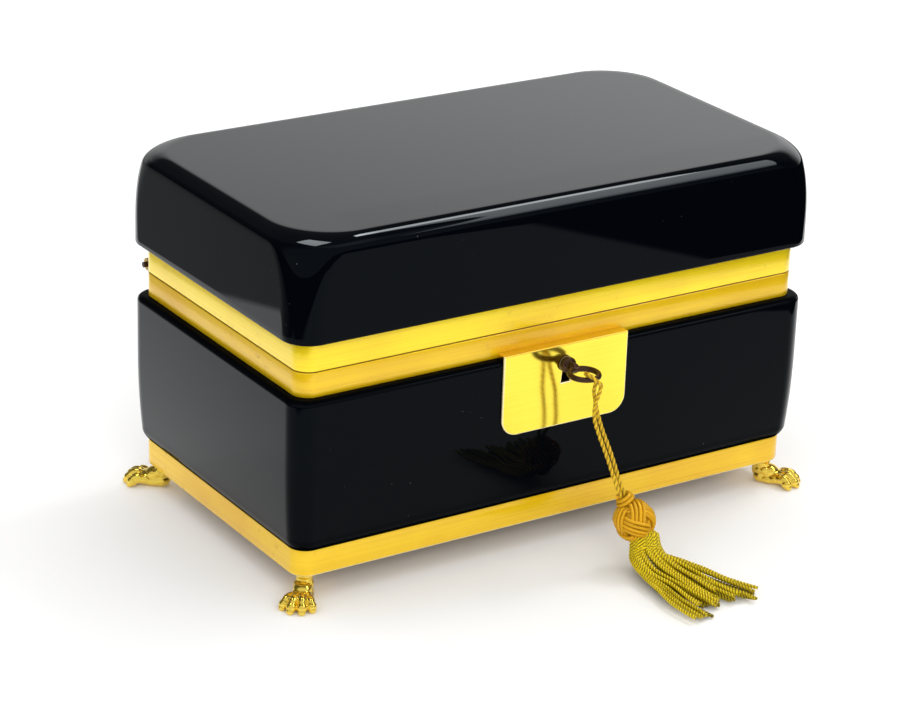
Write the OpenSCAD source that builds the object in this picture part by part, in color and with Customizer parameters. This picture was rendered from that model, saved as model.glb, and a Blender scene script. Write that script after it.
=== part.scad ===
// Black glass casket with gilt brass bands, paw feet, a box lock and a key with a tassel.
// Millimetres. +X runs right along the front, -Y is the front, +Z is up.
// The origin is on the table, under the middle of the glass.

/* [Glass] */
// Width of the glass base
base_w = 169; // [150:0.2:200]
// Depth of the glass base
base_d = 94.4; // [86:0.2:120]
// How far the glass lid overhangs the base on each side
lid_over = 0.8; // [0:0.1:2]
// Height of the glass base, from its sole to its ledge
base_glass_h = 45; // [42:0.1:60]
// Height of the glass lid above its rim
lid_glass_h = 28.4; // [24:0.1:40]
// Thickness of the glass walls
glass_wall = 6.5; // [6:0.1:8]
// Thickness of the glass floor
base_floor_t = 5.5; // [4:0.1:8]
// Thickness of the glass over the lid's hollow
lid_crown_t = 6.5; // [4:0.1:9]
// Corner radius of the base in plan
base_corner_r = 6; // [5.5:0.1:9]
// Corner radius of the hollow in plan
hollow_corner_r = 3; // [2:0.1:5]
// Rounding where the hollow's wall meets its floor
hollow_round = 4; // [2:0.1:6]
// Rounding under the base
sole_round = 4.5; // [3:0.1:6]
// How far the base draws in towards its sole
base_draw = 0.9; // [0.4:0.1:2]
// Height over which the base draws in
base_draw_h = 22; // [10:0.5:30]
// Rounding of the base's ledge
ledge_round = 1.6; // [0.8:0.1:2]
// Corner radius of the lid in plan, low down
lid_corner_r = 8; // [6:0.1:10]
// Corner radius of the lid in plan, at its crown
crown_corner_r = 17.6; // [12:0.2:24]
// Height below the crown where the lid's corners start to widen
crown_corner_h = 25; // [15:0.2:26]
// Rounding of the crown's edge
crown_edge_r = 4.2; // [3:0.1:7]
// Chamfer along the lid's lower edge
lid_chamfer = 0.6; // [0.3:0.1:1]

/* [Bands] */
// How far the rim bands stand back from the base's glass
rim_set = 2.6; // [2:0.1:3.2]
// Corner radius of the rim bands in plan
rim_corner_r = 5; // [4:0.1:7]
// Height of the band on the base
base_band_h = 7.1; // [6:0.1:10]
// Height of the band on the lid
lid_band_h = 8.6; // [7:0.1:12]
// Thickness of the band sheet
band_t = 0.9; // [0.7:0.1:1.1]
// Gap between the two bands when the lid is shut
seam_gap = 0.2; // [0.1:0.05:0.4]
// Room for the cement between glass and band
bed_gap = 0.15; // [0.1:0.05:0.3]

/* [Foot frame] */
// How far the foot frame stands back from the glass
frame_set = 2.4; // [2:0.1:4.5]
// Height of the foot frame
foot_frame_h = 6.6; // [5:0.1:10]
// Corner radius of the foot frame in plan
frame_corner_r = 5; // [4:0.1:7]
// Thickness of the foot frame's wall, seat and corner plates
frame_t = 1.2; // [0.8:0.1:2]
// Width of the seat under the glass
seat_w = 8; // [6:0.5:12]
// Radius of the corner plates that carry the feet
corner_plate_r = 9; // [7:0.5:12]

/* [Paw feet] */
// Height of a foot
foot_h = 8; // [6:0.1:12]
// Length of a paw from heel to toes
paw_l = 14.2; // [12:0.2:20]
// Width of a paw across its toes
paw_w = 11; // [9:0.2:14]
// How far a foot's stud stands in from the ends of the frame
foot_inset_x = 4.4; // [4.2:0.1:7]
// How far a foot's stud stands in from the front and back of the frame
foot_inset_y = 4; // [3.9:0.1:7]
// Turn of the paws away from the long side
paw_turn = 48; // [40:1:55]
// Radius of a foot's stud
stud_r = 1; // [0.8:0.1:1.5]
// Length of a stud above the frame's underside
stud_l = 3.8; // [3.4:0.1:5]
// Height of the nuts on the studs
nut_h = 2; // [1.5:0.1:2.4]
// Width of the nuts across their corners
nut_w = 4; // [3.4:0.1:4.6]

/* [Hinge] */
// Length of the hinge
hinge_l = 159; // [120:1:160]
// Number of knuckles, odd
knuckle_n = 9; // [5:2:13]
// Radius of the knuckles
knuckle_r = 1.8; // [1.5:0.1:2.2]
// Radius of the hinge pin
pin_r = 0.8; // [0.6:0.05:1]
// How far the pin stands out of the last knuckles
pin_over = 1; // [0.5:0.1:2]
// Thickness of the leaves
leaf_t = 0.8; // [0.6:0.05:1]
// Height of a leaf
leaf_h = 4; // [3:0.1:4.5]
// Distance from the hinge axis to the edge of a leaf
leaf_relief = 2.2; // [2.1:0.1:2.6]
// Number of rivets in a leaf
rivet_n = 6; // [4:1:8]
// Radius of a rivet's shank
rivet_r = 0.5; // [0.4:0.05:0.6]
// Radius of a rivet's head
rivet_head_r = 1; // [0.8:0.05:1.2]
// Height of a rivet's head
rivet_head_h = 0.5; // [0.3:0.05:0.7]

/* [Lock] */
// Width of the lock plate
plate_w = 41; // [38:0.2:50]
// How far the lock plate hangs below the ledge
plate_drop = 22.2; // [20:0.1:26]
// How far the lock plate rises above the ledge
plate_rise = 1.6; // [1:0.1:2.4]
// Thickness of the lock plate
plate_t = 0.8; // [0.6:0.05:1.2]
// Radius of the lock plate's lower corners
plate_corner_r = 5; // [3:0.1:8]
// Gap between the lock plate and the glass, and between the plate's shelf and the ledge
plate_gap = 0.1; // [0.05:0.05:0.3]
// Height of the key's axis below the ledge
key_drop = 4.3; // [4:0.1:6]
// Radius of the keyhole's round end
keyhole_r = 2; // [1.8:0.05:2.4]
// Length of the keyhole's slot below the key's axis
keyhole_slot = 5.4; // [5.3:0.1:6]
// Width of the keyhole's slot at its top
slot_w = 2.1; // [1.9:0.1:2.4]
// Width of the keyhole's slot at its foot
slot_foot_w = 3; // [2.4:0.1:3.6]
// Width of the lock case
case_w = 29; // [27:0.2:34]
// How far the lock case hangs below the ledge
case_drop = 14; // [12:0.2:16]
// How far the lock case reaches into the box behind the glass
case_reach = 6.4; // [6:0.1:8]
// Thickness of the case and of its cover
case_t = 0.8; // [0.6:0.05:1]
// Gap between the lock case and the glass
case_gap = 0.4; // [0.2:0.05:0.8]
// Travel of the bolt
bolt_throw = 4.2; // [3.6:0.1:4.6]
// Height of the bolt
bolt_h = 2.6; // [2:0.1:3]
// Thickness of the bolt's head
bolt_head_t = 2; // [1.6:0.1:2.4]
// Thickness of the staple on the lid
staple_t = 1.8; // [1.4:0.1:2.2]
// Width of the staple
staple_w = 4.8; // [4.4:0.1:5.2]

/* [Key] */
// Radius of the key's shaft
shaft_r = 1.5; // [1.3:0.05:1.7]
// Radius of the pin that the key's shaft runs on
drill_pin_r = 0.6; // [0.5:0.05:0.8]
// Reach of the key's bit from its axis
bit_r = 5.2; // [4.8:0.05:5.3]
// Thickness of the bit
bit_t = 1.6; // [1.2:0.05:1.8]
// Width of the bit along the shaft
bit_w = 3.4; // [3:0.1:3.6]
// Length of the bow, outside
bow_l = 9.9; // [9:0.1:12]
// Width of the bow, outside
bow_w = 9.5; // [9:0.1:12]
// Radius of the bow's bar
bow_bar_r = 0.85; // [0.6:0.05:1]
// Distance from the lock plate to the middle of the bow
bow_out = 8.5; // [7.5:0.1:9.5]

/* [Tassel] */
// Radius of one strand of the cord
strand_r = 0.55; // [0.4:0.05:0.6]
// Radius of the ball knot
knot_r = 6.2; // [5:0.1:8]
// Radius of the whipping above the knot
whipping_r = 1.9; // [1.6:0.1:2.4]
// Number of ridges across the fringe
fringe_ridges = 12; // [8:1:16]
// Height of a ridge of the fringe
ridge_h = 0.35; // [0.2:0.05:0.5]
// Gap between the ball knot and the fringe under it
fringe_gap = 0.2; // [0.1:0.05:0.5]

/* [Hidden] */

$fn = 48;
// Steps round one corner of the glass
corner_steps = 7;
// Radial clearance of a running fit
run_fit = 0.05;
// Radial clearance of a rivet or screw in its hole
rivet_fit = 0.05;
// Overlap that fuses two shapes of one piece
weld = 0.2;

glass_black = [0.03, 0.035, 0.045];
gilt = [0.93, 0.72, 0.22];
old_brass = [0.55, 0.42, 0.2];
steel = [0.25, 0.2, 0.17];
silk = [0.75, 0.6, 0.12];

// Heights, from the table up
z_frame = foot_h;
z_base_glass = z_frame + foot_frame_h;
z_ledge = z_base_glass + base_glass_h;
z_base_rim = z_ledge + base_band_h;
z_lid_rim = z_base_rim + seam_gap;
z_lid_glass = z_lid_rim + lid_band_h;
z_top = z_lid_glass + lid_glass_h;
z_floor = z_base_glass + base_floor_t;
z_ceiling = z_top - lid_crown_t;

// Plan sizes that follow the glass
lid_w = base_w + 2 * lid_over;
lid_d = base_d + 2 * lid_over;
rim_w = base_w - 2 * rim_set;
rim_d = base_d - 2 * rim_set;
hollow_w = base_w - 2 * glass_wall;
hollow_d = base_d - 2 * glass_wall;
frame_w = base_w - 2 * frame_set;
frame_d = base_d - 2 * frame_set;
neck_in = rim_set + band_t + bed_gap;
neck_corner_r = rim_corner_r - band_t - bed_gap;
stud_x = frame_w / 2 - foot_inset_x;
stud_y = frame_d / 2 - foot_inset_y;

// Hinge axis, behind the bands at the parting line
hinge_gap = 0.3;
hinge_y = rim_d / 2 + hinge_gap + knuckle_r;
hinge_z = (z_base_rim + z_lid_rim) / 2;
knuckle_pitch = hinge_l / knuckle_n;
leaf_rivet_z = leaf_relief + leaf_h / 2;

// Lock, from the plate inwards along +Y
plate_back = -(base_d / 2 + plate_gap);
plate_front = plate_back - plate_t;
plate_top = z_ledge + plate_rise;
key_z = z_ledge - key_drop;
hollow_y = -hollow_d / 2;
case_back = hollow_y + case_reach;
cover_back = case_back + case_t;
case_low = z_ledge - case_drop;
behind_band = -(rim_d / 2 - band_t) + bed_gap;
notch_w = case_w + 2 * case_gap;
notch_low = case_low - case_gap;
case_top = z_base_rim - band_t;
case_in = case_w / 2 - case_t;
staple_y = hollow_y + bed_gap + staple_w / 2;
staple_clear = 0.6;
tongue_w = case_w;
tongue_y = case_back;
bolt_low = z_ledge + 0.7;
bolt_y = staple_y;
eye_clear = 0.4;
bolt_tip = -(staple_t / 2 + 0.5);
bolt_head_l = bolt_throw + 0.9;
bolt_end = bolt_tip - 8.6;
bolt_body_t = 4.3;
bolt_back = bolt_y + bolt_head_t / 2 + 0.4;
tail_gap = 1.5;
tail_t = 2;
tail_x = -(bit_r + tail_gap);
tail_low = key_z - 2.6;
rail_t = 1;
rail_lap = 1.2;
rail_back = bolt_back - bolt_body_t + rail_lap;
rail_cut = staple_t + 1.4;
post_r = 1.4;
post_x = case_in - post_r + weld;
post_low = case_low + 2.6;
post_high = key_z + 1.9;
screw_r = 0.55;
screw_head_r = 1.3;
screw_head_h = 0.6;
spring_t = 0.4;
spring_w = 2;
spring_x = bolt_end - 0.6;
bit_y = bolt_y - 0.1;
shaft_end = case_back - 0.8;
bore_l = 10;
bow_y = plate_front - bow_out;

// Ball knot, which hangs clear of the table, and the way that the cord comes out of it
knot_at = [10.4, -68.9, 15.5];
cord_way = [-0.37, 0.31, 0.87];
whipping_l = 9;

// Middle line of the cord: up from the knot, round the front of the bow and down again
cord_route = [
    [7.57, -65.55, 23.71], [7.45, -64.8, 25.4], [7.5, -63.6, 27.5], [7.3, -62.2, 30], [6.3, -60.7, 34.2],
    [4.9, -59.5, 38.8], [3.7, -58.7, 43], [2.7, -58.4, 47], [1.95, -58.8, 50.8],
    [1.9, -59.3, 53.6], [0.6, -58.3, 54.8], [-0.6, -58.3, 56.0], [-1.5, -59.4, 56.9], [-1.8, -60.7, 57.2],
    [-1.5, -62.0, 56.9], [-0.6, -63.1, 56.0], [0.6, -63.1, 54.8], [1.9, -62.0, 53.7], [1.75, -61.5, 51.2],
    [1.25, -60.7, 48], [1.4, -60.3, 44], [2.2, -61.1, 39.8], [3.5, -62.4, 35.5], [4.5, -63.6, 31.8],
    [5.3, -64.8, 28], [5.85, -65.75, 25.3], [6.33, -66.47, 23.51]
];

// Fringe, from the knot's foot to the tips on the table: middle line, half widths and half thicknesses
fringe_line = [
    knot_at - (knot_r + fringe_gap) * cord_way / norm(cord_way), [12.2, -72.8, 6], [11.3, -76.6, 4.5],
    [12.2, -82, 3.3], [13.4, -88.6, 2.7], [14.6, -95.6, 2.2], [16.8, -104, 1.85]
];
fringe_half = [[4.4, 3.8], [5, 4], [6.4, 3.8], [8.9, 3], [10.3, 2.5], [11.8, 2.1], [13.6, 1.7]];

// Points of an arc in the [inset, height] plane
function arc(cx, cz, r, a0, a1, n) =
    [for (i = [0:n]) let (a = a0 + (a1 - a0) * i / n) [cx + r * cos(a), cz + r * sin(a)]];

// One rounded rectangle at height z, as points
function ring(hw, hd, r, z) = [
    for (q = [0:3])
        let (sx = q == 0 || q == 3 ? 1 : -1, sy = q < 2 ? 1 : -1)
        for (i = [0:corner_steps])
            let (a = 90 * (q + i / corner_steps))
            [sx * (hw - r) + r * cos(a), sy * (hd - r) + r * sin(a), z]
];

function unit(v) = v / norm(v);

// Catmull-Rom point between b and c
function spline(a, b, c, d, t) =
    0.5 * (2 * b + (c - a) * t + (2 * a - 5 * b + 4 * c - d) * t * t
        + (3 * b - a - 3 * c + d) * t * t * t);

function smooth_route(p, steps) = [
    for (i = [0:len(p) - 2]) for (k = [0:steps - 1])
        spline(p[max(i - 1, 0)], p[i], p[i + 1], p[min(i + 2, len(p) - 1)], k / steps),
    p[len(p) - 1]
];

// Radius of the ball that a low dome of radius a and height h is cut from
function dome_ball(a, h) = (a * a + h * h) / (2 * h);

// Solid skin over rows of n points each, with flat ends
module skin(points, n, rows) {
    sides = [
        for (j = [0:rows - 2]) for (i = [0:n - 1])
            let (a = j * n + i, b = j * n + (i + 1) % n)
            each [[b, a, a + n], [b, a + n, b + n]]
    ];
    first = [for (i = [0:n - 1]) i];
    last = [for (i = [n - 1:-1:0]) (rows - 1) * n + i];
    polyhedron(points, concat([first], sides, [last]));
}

// Glass turned out of a profile: rows of [inset, height, corner radius]
module glass_loft(rows, w, d) {
    points = [for (row = rows) each ring(w / 2 - row[0], d / 2 - row[0], row[2], row[1])];
    skin(points, 4 * (corner_steps + 1), len(rows));
}

module rounded_plan(w, d, r) {
    square([w - 2 * r, d], center = true);
    square([w, d - 2 * r], center = true);
    for (x = [-1, 1], y = [-1, 1])
        translate([x * (w / 2 - r), y * (d / 2 - r)]) circle(r);
}

module band_ring(w, d, r, inner_w, inner_d, inner_r, z, h) {
    translate([0, 0, z])
        linear_extrude(h)
            difference() {
                rounded_plan(w, d, r);
                rounded_plan(inner_w, inner_d, inner_r);
            }
}

// Cylinder along +Y from y0 to y1
module rod_y(x, z, r, y0, y1) {
    translate([x, y0, z]) rotate([-90, 0, 0]) cylinder(r = r, h = y1 - y0);
}

// Box between two corners
module block(low, high) {
    translate(low) cube(high - low);
}

module base_glass() {
    sole = arc(base_draw + sole_round, z_base_glass + sole_round, sole_round, 270, 180, 5);
    draw_low = z_base_glass + sole_round;
    side = [for (i = [1:4]) let (t = i / 4) [base_draw * pow(1 - t, 2), draw_low + base_draw_h * t]];
    ledge = arc(ledge_round, z_ledge - ledge_round, ledge_round, 180, 90, 4);
    z_neck = z_base_rim - band_t - bed_gap;
    bowl = arc(glass_wall + hollow_round, z_floor + hollow_round, hollow_round, 180, 270, 4);
    rows = concat(
        [for (p = concat(sole, side, ledge)) [p[0], p[1], base_corner_r - p[0] / 2]],
        [for (z = [z_ledge, z_neck]) [neck_in, z, neck_corner_r]],
        [[glass_wall, z_neck, hollow_corner_r]],
        [for (p = bowl) [p[0], p[1], hollow_corner_r]]
    );
    color(glass_black)
        difference() {
            glass_loft(rows, base_w, base_d);
            block(
                [-notch_w / 2, -base_d, notch_low],
                [notch_w / 2, hollow_y + weld, z_base_rim]
            );
        }
}

// Corner radius of the lid at height z
function lid_corner(z) =
    let (t = max(0, (z - (z_top - crown_corner_h)) / crown_corner_h))
    lid_corner_r + (crown_corner_r - lid_corner_r) * pow(t, 1.8);

module lid_glass() {
    z_neck = z_lid_rim + band_t + bed_gap;
    side_low = z_lid_glass + lid_chamfer;
    side_h = lid_glass_h - lid_chamfer - crown_edge_r;
    side = [for (i = [0:6]) [0, side_low + side_h * i / 6]];
    crown = arc(crown_edge_r, z_top - crown_edge_r, crown_edge_r, 180, 90, 6);
    wall_in = lid_over + glass_wall;
    bowl = arc(wall_in + hollow_round, z_ceiling - hollow_round, hollow_round, 90, 180, 4);
    rows = concat(
        [for (p = bowl) [p[0], p[1], hollow_corner_r]],
        [[wall_in, z_neck, hollow_corner_r]],
        [for (z = [z_neck, z_lid_glass]) [lid_over + neck_in, z, neck_corner_r]],
        [[lid_chamfer, z_lid_glass, lid_corner_r - lid_chamfer]],
        [for (p = side) [p[0], p[1], lid_corner(p[1])]],
        [for (i = [1:6]) [crown[i][0], crown[i][1], lid_corner(crown[i][1])]]
    );
    color(glass_black) glass_loft(rows, lid_w, lid_d);
}

// Upright band with a flat lip over the end of the glass
module rim_band(z_low, h, lip_low) {
    band_ring(rim_w, rim_d, rim_corner_r, rim_w - 2 * band_t, rim_d - 2 * band_t, rim_corner_r - band_t, z_low, h);
    band_ring(rim_w, rim_d, rim_corner_r, hollow_w, hollow_d, hollow_corner_r, lip_low, band_t);
}

// Tongue of the lip over the lock
module rim_tongue(w, z) {
    block([-w / 2, hollow_y - weld, z], [w / 2, tongue_y, z + band_t]);
}

// Places of the rivets along a hinge leaf
function rivet_x(i) = (i + 0.5 - rivet_n / 2) * hinge_l / rivet_n;

module rivet_holes(z) {
    for (i = [0:rivet_n - 1])
        rod_y(rivet_x(i), z, rivet_r + rivet_fit, rim_d / 2 - 2 * band_t, hinge_y + knuckle_r);
}

module base_rim_frame() {
    color(gilt)
        difference() {
            union() {
                rim_band(z_ledge, base_band_h, z_base_rim - band_t);
                rim_tongue(tongue_w, z_base_rim - band_t);
            }
            block(
                [-staple_t / 2 - staple_clear, staple_y - staple_w / 2 - staple_clear, z_ledge],
                [staple_t / 2 + staple_clear, staple_y + staple_w / 2 + staple_clear, z_lid_rim]
            );
            rivet_holes(hinge_z - leaf_rivet_z);
        }
}

staple_foot_w = 8;
staple_foot_t = 0.9;
staple_rivet_x = staple_foot_w / 2 - 1.4;

module lid_rim_frame() {
    slot_fit = 0.1;
    color(gilt)
        difference() {
            union() {
                rim_band(z_lid_rim, lid_band_h, z_lid_rim);
                rim_tongue(staple_foot_w + 2, z_lid_rim);
            }
            block(
                [-staple_t / 2 - slot_fit, staple_y - staple_w / 2 - slot_fit, z_base_rim],
                [staple_t / 2 + slot_fit, staple_y + staple_w / 2 + slot_fit, z_lid_glass]
            );
            for (x = [-1, 1])
                translate([x * staple_rivet_x, staple_y, z_base_rim])
                    cylinder(r = rivet_r + rivet_fit, h = lid_band_h);
            rivet_holes(hinge_z + leaf_rivet_z);
        }
}

// Eye plate under the lid, with its foot on the tongue
module lid_staple() {
    z_foot = z_lid_rim + band_t;
    eye_y = bolt_head_t / 2 + eye_clear;
    color(old_brass)
        difference() {
            union() {
                block(
                    [-staple_t / 2, staple_y - staple_w / 2, bolt_low - eye_clear - 1],
                    [staple_t / 2, staple_y + staple_w / 2, z_foot + weld]
                );
                block(
                    [-staple_foot_w / 2, hollow_y + bed_gap, z_foot],
                    [staple_foot_w / 2, staple_y + staple_w / 2, z_foot + staple_foot_t]
                );
            }
            block(
                [-staple_t, staple_y - eye_y, bolt_low - eye_clear],
                [staple_t, staple_y + eye_y, bolt_low + bolt_h + eye_clear]
            );
            for (x = [-1, 1])
                translate([x * staple_rivet_x, staple_y, z_base_rim])
                    cylinder(r = rivet_r + rivet_fit, h = lid_band_h);
        }
}

module staple_rivets() {
    z_head = z_lid_rim + band_t + staple_foot_t;
    color(gilt)
        for (x = [-1, 1])
            translate([x * staple_rivet_x, staple_y, 0]) {
                translate([0, 0, z_lid_rim]) cylinder(r = rivet_r, h = z_head - z_lid_rim + weld);
                translate([0, 0, z_head]) rivet_head();
            }
}

// Low dome on the plane z = 0
module rivet_head() {
    ball = dome_ball(rivet_head_r, rivet_head_h);
    intersection() {
        translate([0, 0, rivet_head_h - ball]) sphere(ball);
        cylinder(r = 2 * rivet_head_r, h = 2 * rivet_head_h);
    }
}

// Leaf, knuckles and their webs: up is 1 for the lid's leaf and -1 for the base's
module hinge_leaf(up, first) {
    web_l = knuckle_pitch - hinge_gap;
    leaf_z = up > 0 ? leaf_relief : -leaf_relief - leaf_h;
    web_z = up > 0 ? 0 : -leaf_relief - weld;
    heel_z = up > 0 ? 0 : -knuckle_r;
    difference() {
        translate([0, 0, hinge_z])
            union() {
                block([-hinge_l / 2, rim_d / 2, leaf_z], [hinge_l / 2, rim_d / 2 + leaf_t, leaf_z + leaf_h]);
                for (k = [first:2:knuckle_n - 1])
                    translate([-hinge_l / 2 + k * knuckle_pitch + hinge_gap / 2, 0, 0]) {
                        translate([0, hinge_y, 0]) rotate([0, 90, 0]) cylinder(r = knuckle_r, h = web_l);
                        block(
                            [0, rim_d / 2, web_z],
                            [web_l, rim_d / 2 + leaf_t, web_z + leaf_relief + weld]
                        );
                        block([0, rim_d / 2, heel_z], [web_l, hinge_y, heel_z + knuckle_r]);
                    }
            }
        translate([-hinge_l, hinge_y, hinge_z])
            rotate([0, 90, 0]) cylinder(r = pin_r + run_fit, h = 2 * hinge_l);
        rivet_holes(hinge_z + up * leaf_rivet_z);
    }
}

module base_hinge_leaf() {
    color(old_brass) hinge_leaf(-1, 0);
}

module lid_hinge_leaf() {
    color(old_brass) hinge_leaf(1, 1);
}

module hinge_pin() {
    color(steel)
        translate([-hinge_l / 2 - pin_over, hinge_y, hinge_z])
            rotate([0, 90, 0]) cylinder(r = pin_r, h = hinge_l + 2 * pin_over);
}

module leaf_rivets(z) {
    color(gilt)
        for (i = [0:rivet_n - 1]) {
            rod_y(rivet_x(i), z, rivet_r, rim_d / 2 - band_t, rim_d / 2 + leaf_t + weld);
            translate([rivet_x(i), rim_d / 2 + leaf_t, z]) rotate([-90, 0, 0]) rivet_head();
        }
}

module base_hinge_rivets() {
    leaf_rivets(hinge_z - leaf_rivet_z);
}

module lid_hinge_rivets() {
    leaf_rivets(hinge_z + leaf_rivet_z);
}

module foot_frame() {
    inner_r = frame_corner_r - frame_t;
    color(gilt)
        difference() {
            union() {
                band_ring(
                    frame_w, frame_d, frame_corner_r,
                    frame_w - 2 * frame_t, frame_d - 2 * frame_t, inner_r, z_frame, foot_frame_h
                );
                band_ring(
                    frame_w, frame_d, frame_corner_r,
                    frame_w - 2 * seat_w, frame_d - 2 * seat_w, inner_r, z_base_glass - frame_t, frame_t
                );
                for (x = [-1, 1], y = [-1, 1])
                    intersection() {
                        translate([0, 0, z_frame])
                            linear_extrude(frame_t) rounded_plan(frame_w, frame_d, frame_corner_r);
                        translate([x * stud_x, y * stud_y, z_frame])
                            cylinder(r = corner_plate_r, h = frame_t);
                    }
            }
            for (x = [-1, 1], y = [-1, 1])
                translate([x * stud_x, y * stud_y, 0])
                    cylinder(r = stud_r + rivet_fit, h = z_base_glass);
        }
}

// Cast lion's paw with its toes along +X, standing on z = 0 under its stud
module paw() {
    toe_turn = 19;
    resize([paw_l, paw_w, foot_h])
        intersection() {
            union() {
                cylinder(r1 = 2.4, r2 = 2.2, h = 8, $fn = 24);
                hull() {
                    cylinder(r = 2.4, h = 1.1, $fn = 24);
                    for (y = [-1, 1])
                        translate([9.2, y * 3.3, 0]) cylinder(r = 1.5, h = 1.1, $fn = 16);
                }
                hull() {
                    translate([0.8, 0, 4.2]) sphere(2, $fn = 20);
                    translate([5.8, 2, 2.9]) sphere(2.1, $fn = 20);
                    translate([5.8, -2, 2.9]) sphere(2.1, $fn = 20);
                }
                for (i = [-1.5:1:1.5])
                    translate([1.4, 0, 0])
                        rotate(i * toe_turn)
                            hull() {
                                translate([5.4, 0, 3.3]) sphere(1.7, $fn = 16);
                                translate([8.9, 0, 1.4]) sphere(1.5, $fn = 16);
                            }
            }
            translate([-20, -20, 0]) cube([40, 40, 8]);
        }
}

module paw_foot(side, front) {
    color(gilt)
        translate([side * stud_x, front * stud_y, 0]) {
            rotate(front * (side > 0 ? paw_turn : 180 - paw_turn)) paw();
            translate([0, 0, foot_h / 2]) cylinder(r = stud_r, h = foot_h / 2 + stud_l);
        }
}

module foot_nuts() {
    color(old_brass)
        for (x = [-1, 1], y = [-1, 1])
            translate([x * stud_x, y * stud_y, z_frame + frame_t])
                difference() {
                    cylinder(d = nut_w, h = nut_h, $fn = 6);
                    translate([0, 0, -1]) cylinder(r = stud_r + rivet_fit, h = nut_h + 2);
                }
}

// Plate in front of the glass, with a shelf back to the band and a keyhole
module lock_plate() {
    plate_low = z_ledge - plate_drop;
    shelf_low = z_ledge + plate_gap;
    r = plate_corner_r;
    color(gilt)
        difference() {
            union() {
                translate([0, plate_back, 0])
                    rotate([90, 0, 0])
                        linear_extrude(plate_t) {
                            translate([-plate_w / 2, plate_low + r]) square([plate_w, plate_top - plate_low - r]);
                            translate([-plate_w / 2 + r, plate_low]) square([plate_w - 2 * r, 2 * r]);
                            for (x = [-1, 1])
                                translate([x * (plate_w / 2 - r), plate_low + r]) circle(r);
                        }
                block([-plate_w / 2, plate_back - weld, shelf_low], [plate_w / 2, -rim_d / 2, plate_top]);
            }
            rod_y(0, key_z, keyhole_r, plate_front - 1, plate_back + 1);
            translate([0, plate_back + 1, key_z])
                rotate([90, 0, 0])
                    linear_extrude(plate_t + 2)
                        polygon([
                            [-slot_w / 2, 0], [-slot_foot_w / 2, -keyhole_slot],
                            [slot_foot_w / 2, -keyhole_slot], [slot_w / 2, 0]
                        ]);
        }
}

// Side wall of the lock case, stepped back behind the band
module case_side(x0, x1) {
    step_z = z_ledge - 0.5;
    translate([x0, 0, 0])
        rotate([90, 0, 90])
            linear_extrude(x1 - x0)
                polygon([
                    [plate_back, case_low], [case_back, case_low], [case_back, case_top],
                    [behind_band, case_top], [behind_band, step_z], [plate_back, step_z]
                ]);
}

post_places = [for (x = [-1, 1], z = [post_low, post_high]) [x * post_x, z]];

module lock_case() {
    color(old_brass)
        difference() {
            union() {
                case_side(-case_w / 2, -case_in);
                case_side(case_in, case_w / 2);
                block([-case_w / 2, plate_back, case_low], [case_w / 2, case_back, case_low + case_t]);
                for (p = post_places)
                    rod_y(p[0], p[1], post_r, behind_band, case_back);
                for (x = [-1, 1])
                    block(
                        [min(x * rail_cut / 2, x * (case_in + weld)), behind_band, bolt_low - bed_gap - rail_t],
                        [max(x * rail_cut / 2, x * (case_in + weld)), rail_back, bolt_low - bed_gap]
                    );
            }
            for (p = post_places)
                rod_y(p[0], p[1], screw_r + rivet_fit, behind_band - 1, case_back + 1);
        }
}

module lock_cover() {
    pin_fit = 0.02;
    color(old_brass)
        difference() {
            block([-case_w / 2, case_back, case_low], [case_w / 2, cover_back, case_top]);
            for (p = post_places)
                rod_y(p[0], p[1], screw_r + rivet_fit, case_back - 1, cover_back + 1);
            rod_y(0, key_z, drill_pin_r + pin_fit, case_back - 1, cover_back + 1);
        }
}

module lock_screws() {
    slot_h = 0.4;
    color(steel)
        for (p = post_places)
            difference() {
                union() {
                    rod_y(p[0], p[1], screw_r, behind_band + 1, cover_back + weld);
                    rod_y(p[0], p[1], screw_head_r, cover_back, cover_back + screw_head_h);
                }
                block(
                    [p[0] - 2 * screw_head_r, cover_back + screw_head_h / 2, p[1] - slot_h / 2],
                    [p[0] + 2 * screw_head_r, cover_back + 2 * screw_head_h, p[1] + slot_h / 2]
                );
            }
}

module drill_pin() {
    color(steel) rod_y(0, key_z, drill_pin_r, shaft_end - bore_l + 0.5, cover_back);
}

// Flat spring from the case's side up to the end of the bolt
module bolt_spring() {
    bend_r = 1.2;
    low = post_high + post_r + 0.1;
    color(steel)
        translate([0, bolt_y + spring_w / 2, 0])
            rotate([90, 0, 0])
                linear_extrude(spring_w) {
                    translate([-case_in, low]) square([spring_x - bend_r + case_in, spring_t]);
                    translate([spring_x - spring_t, low + bend_r])
                        square([spring_t, bolt_low + bolt_h - low - bend_r]);
                    translate([spring_x - bend_r, low + bend_r])
                        intersection() {
                            difference() {
                                circle(bend_r);
                                circle(bend_r - spring_t);
                            }
                            translate([0, -bend_r]) square(bend_r);
                        }
                }
}

// Sliding bolt: head through the eye, body on the rails, tail beside the key's bit
module lock_bolt() {
    head_back = bolt_tip - bolt_head_l;
    color(steel)
        union() {
            block(
                [head_back - weld, bolt_y - bolt_head_t / 2, bolt_low],
                [bolt_tip, bolt_y + bolt_head_t / 2, bolt_low + bolt_h]
            );
            block(
                [bolt_end, bolt_back - bolt_body_t, bolt_low],
                [head_back, bolt_back, bolt_low + bolt_h]
            );
            block(
                [tail_x - tail_t, bolt_y - bolt_head_t / 2, tail_low],
                [tail_x, bolt_back, bolt_low + weld]
            );
        }
}

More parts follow.
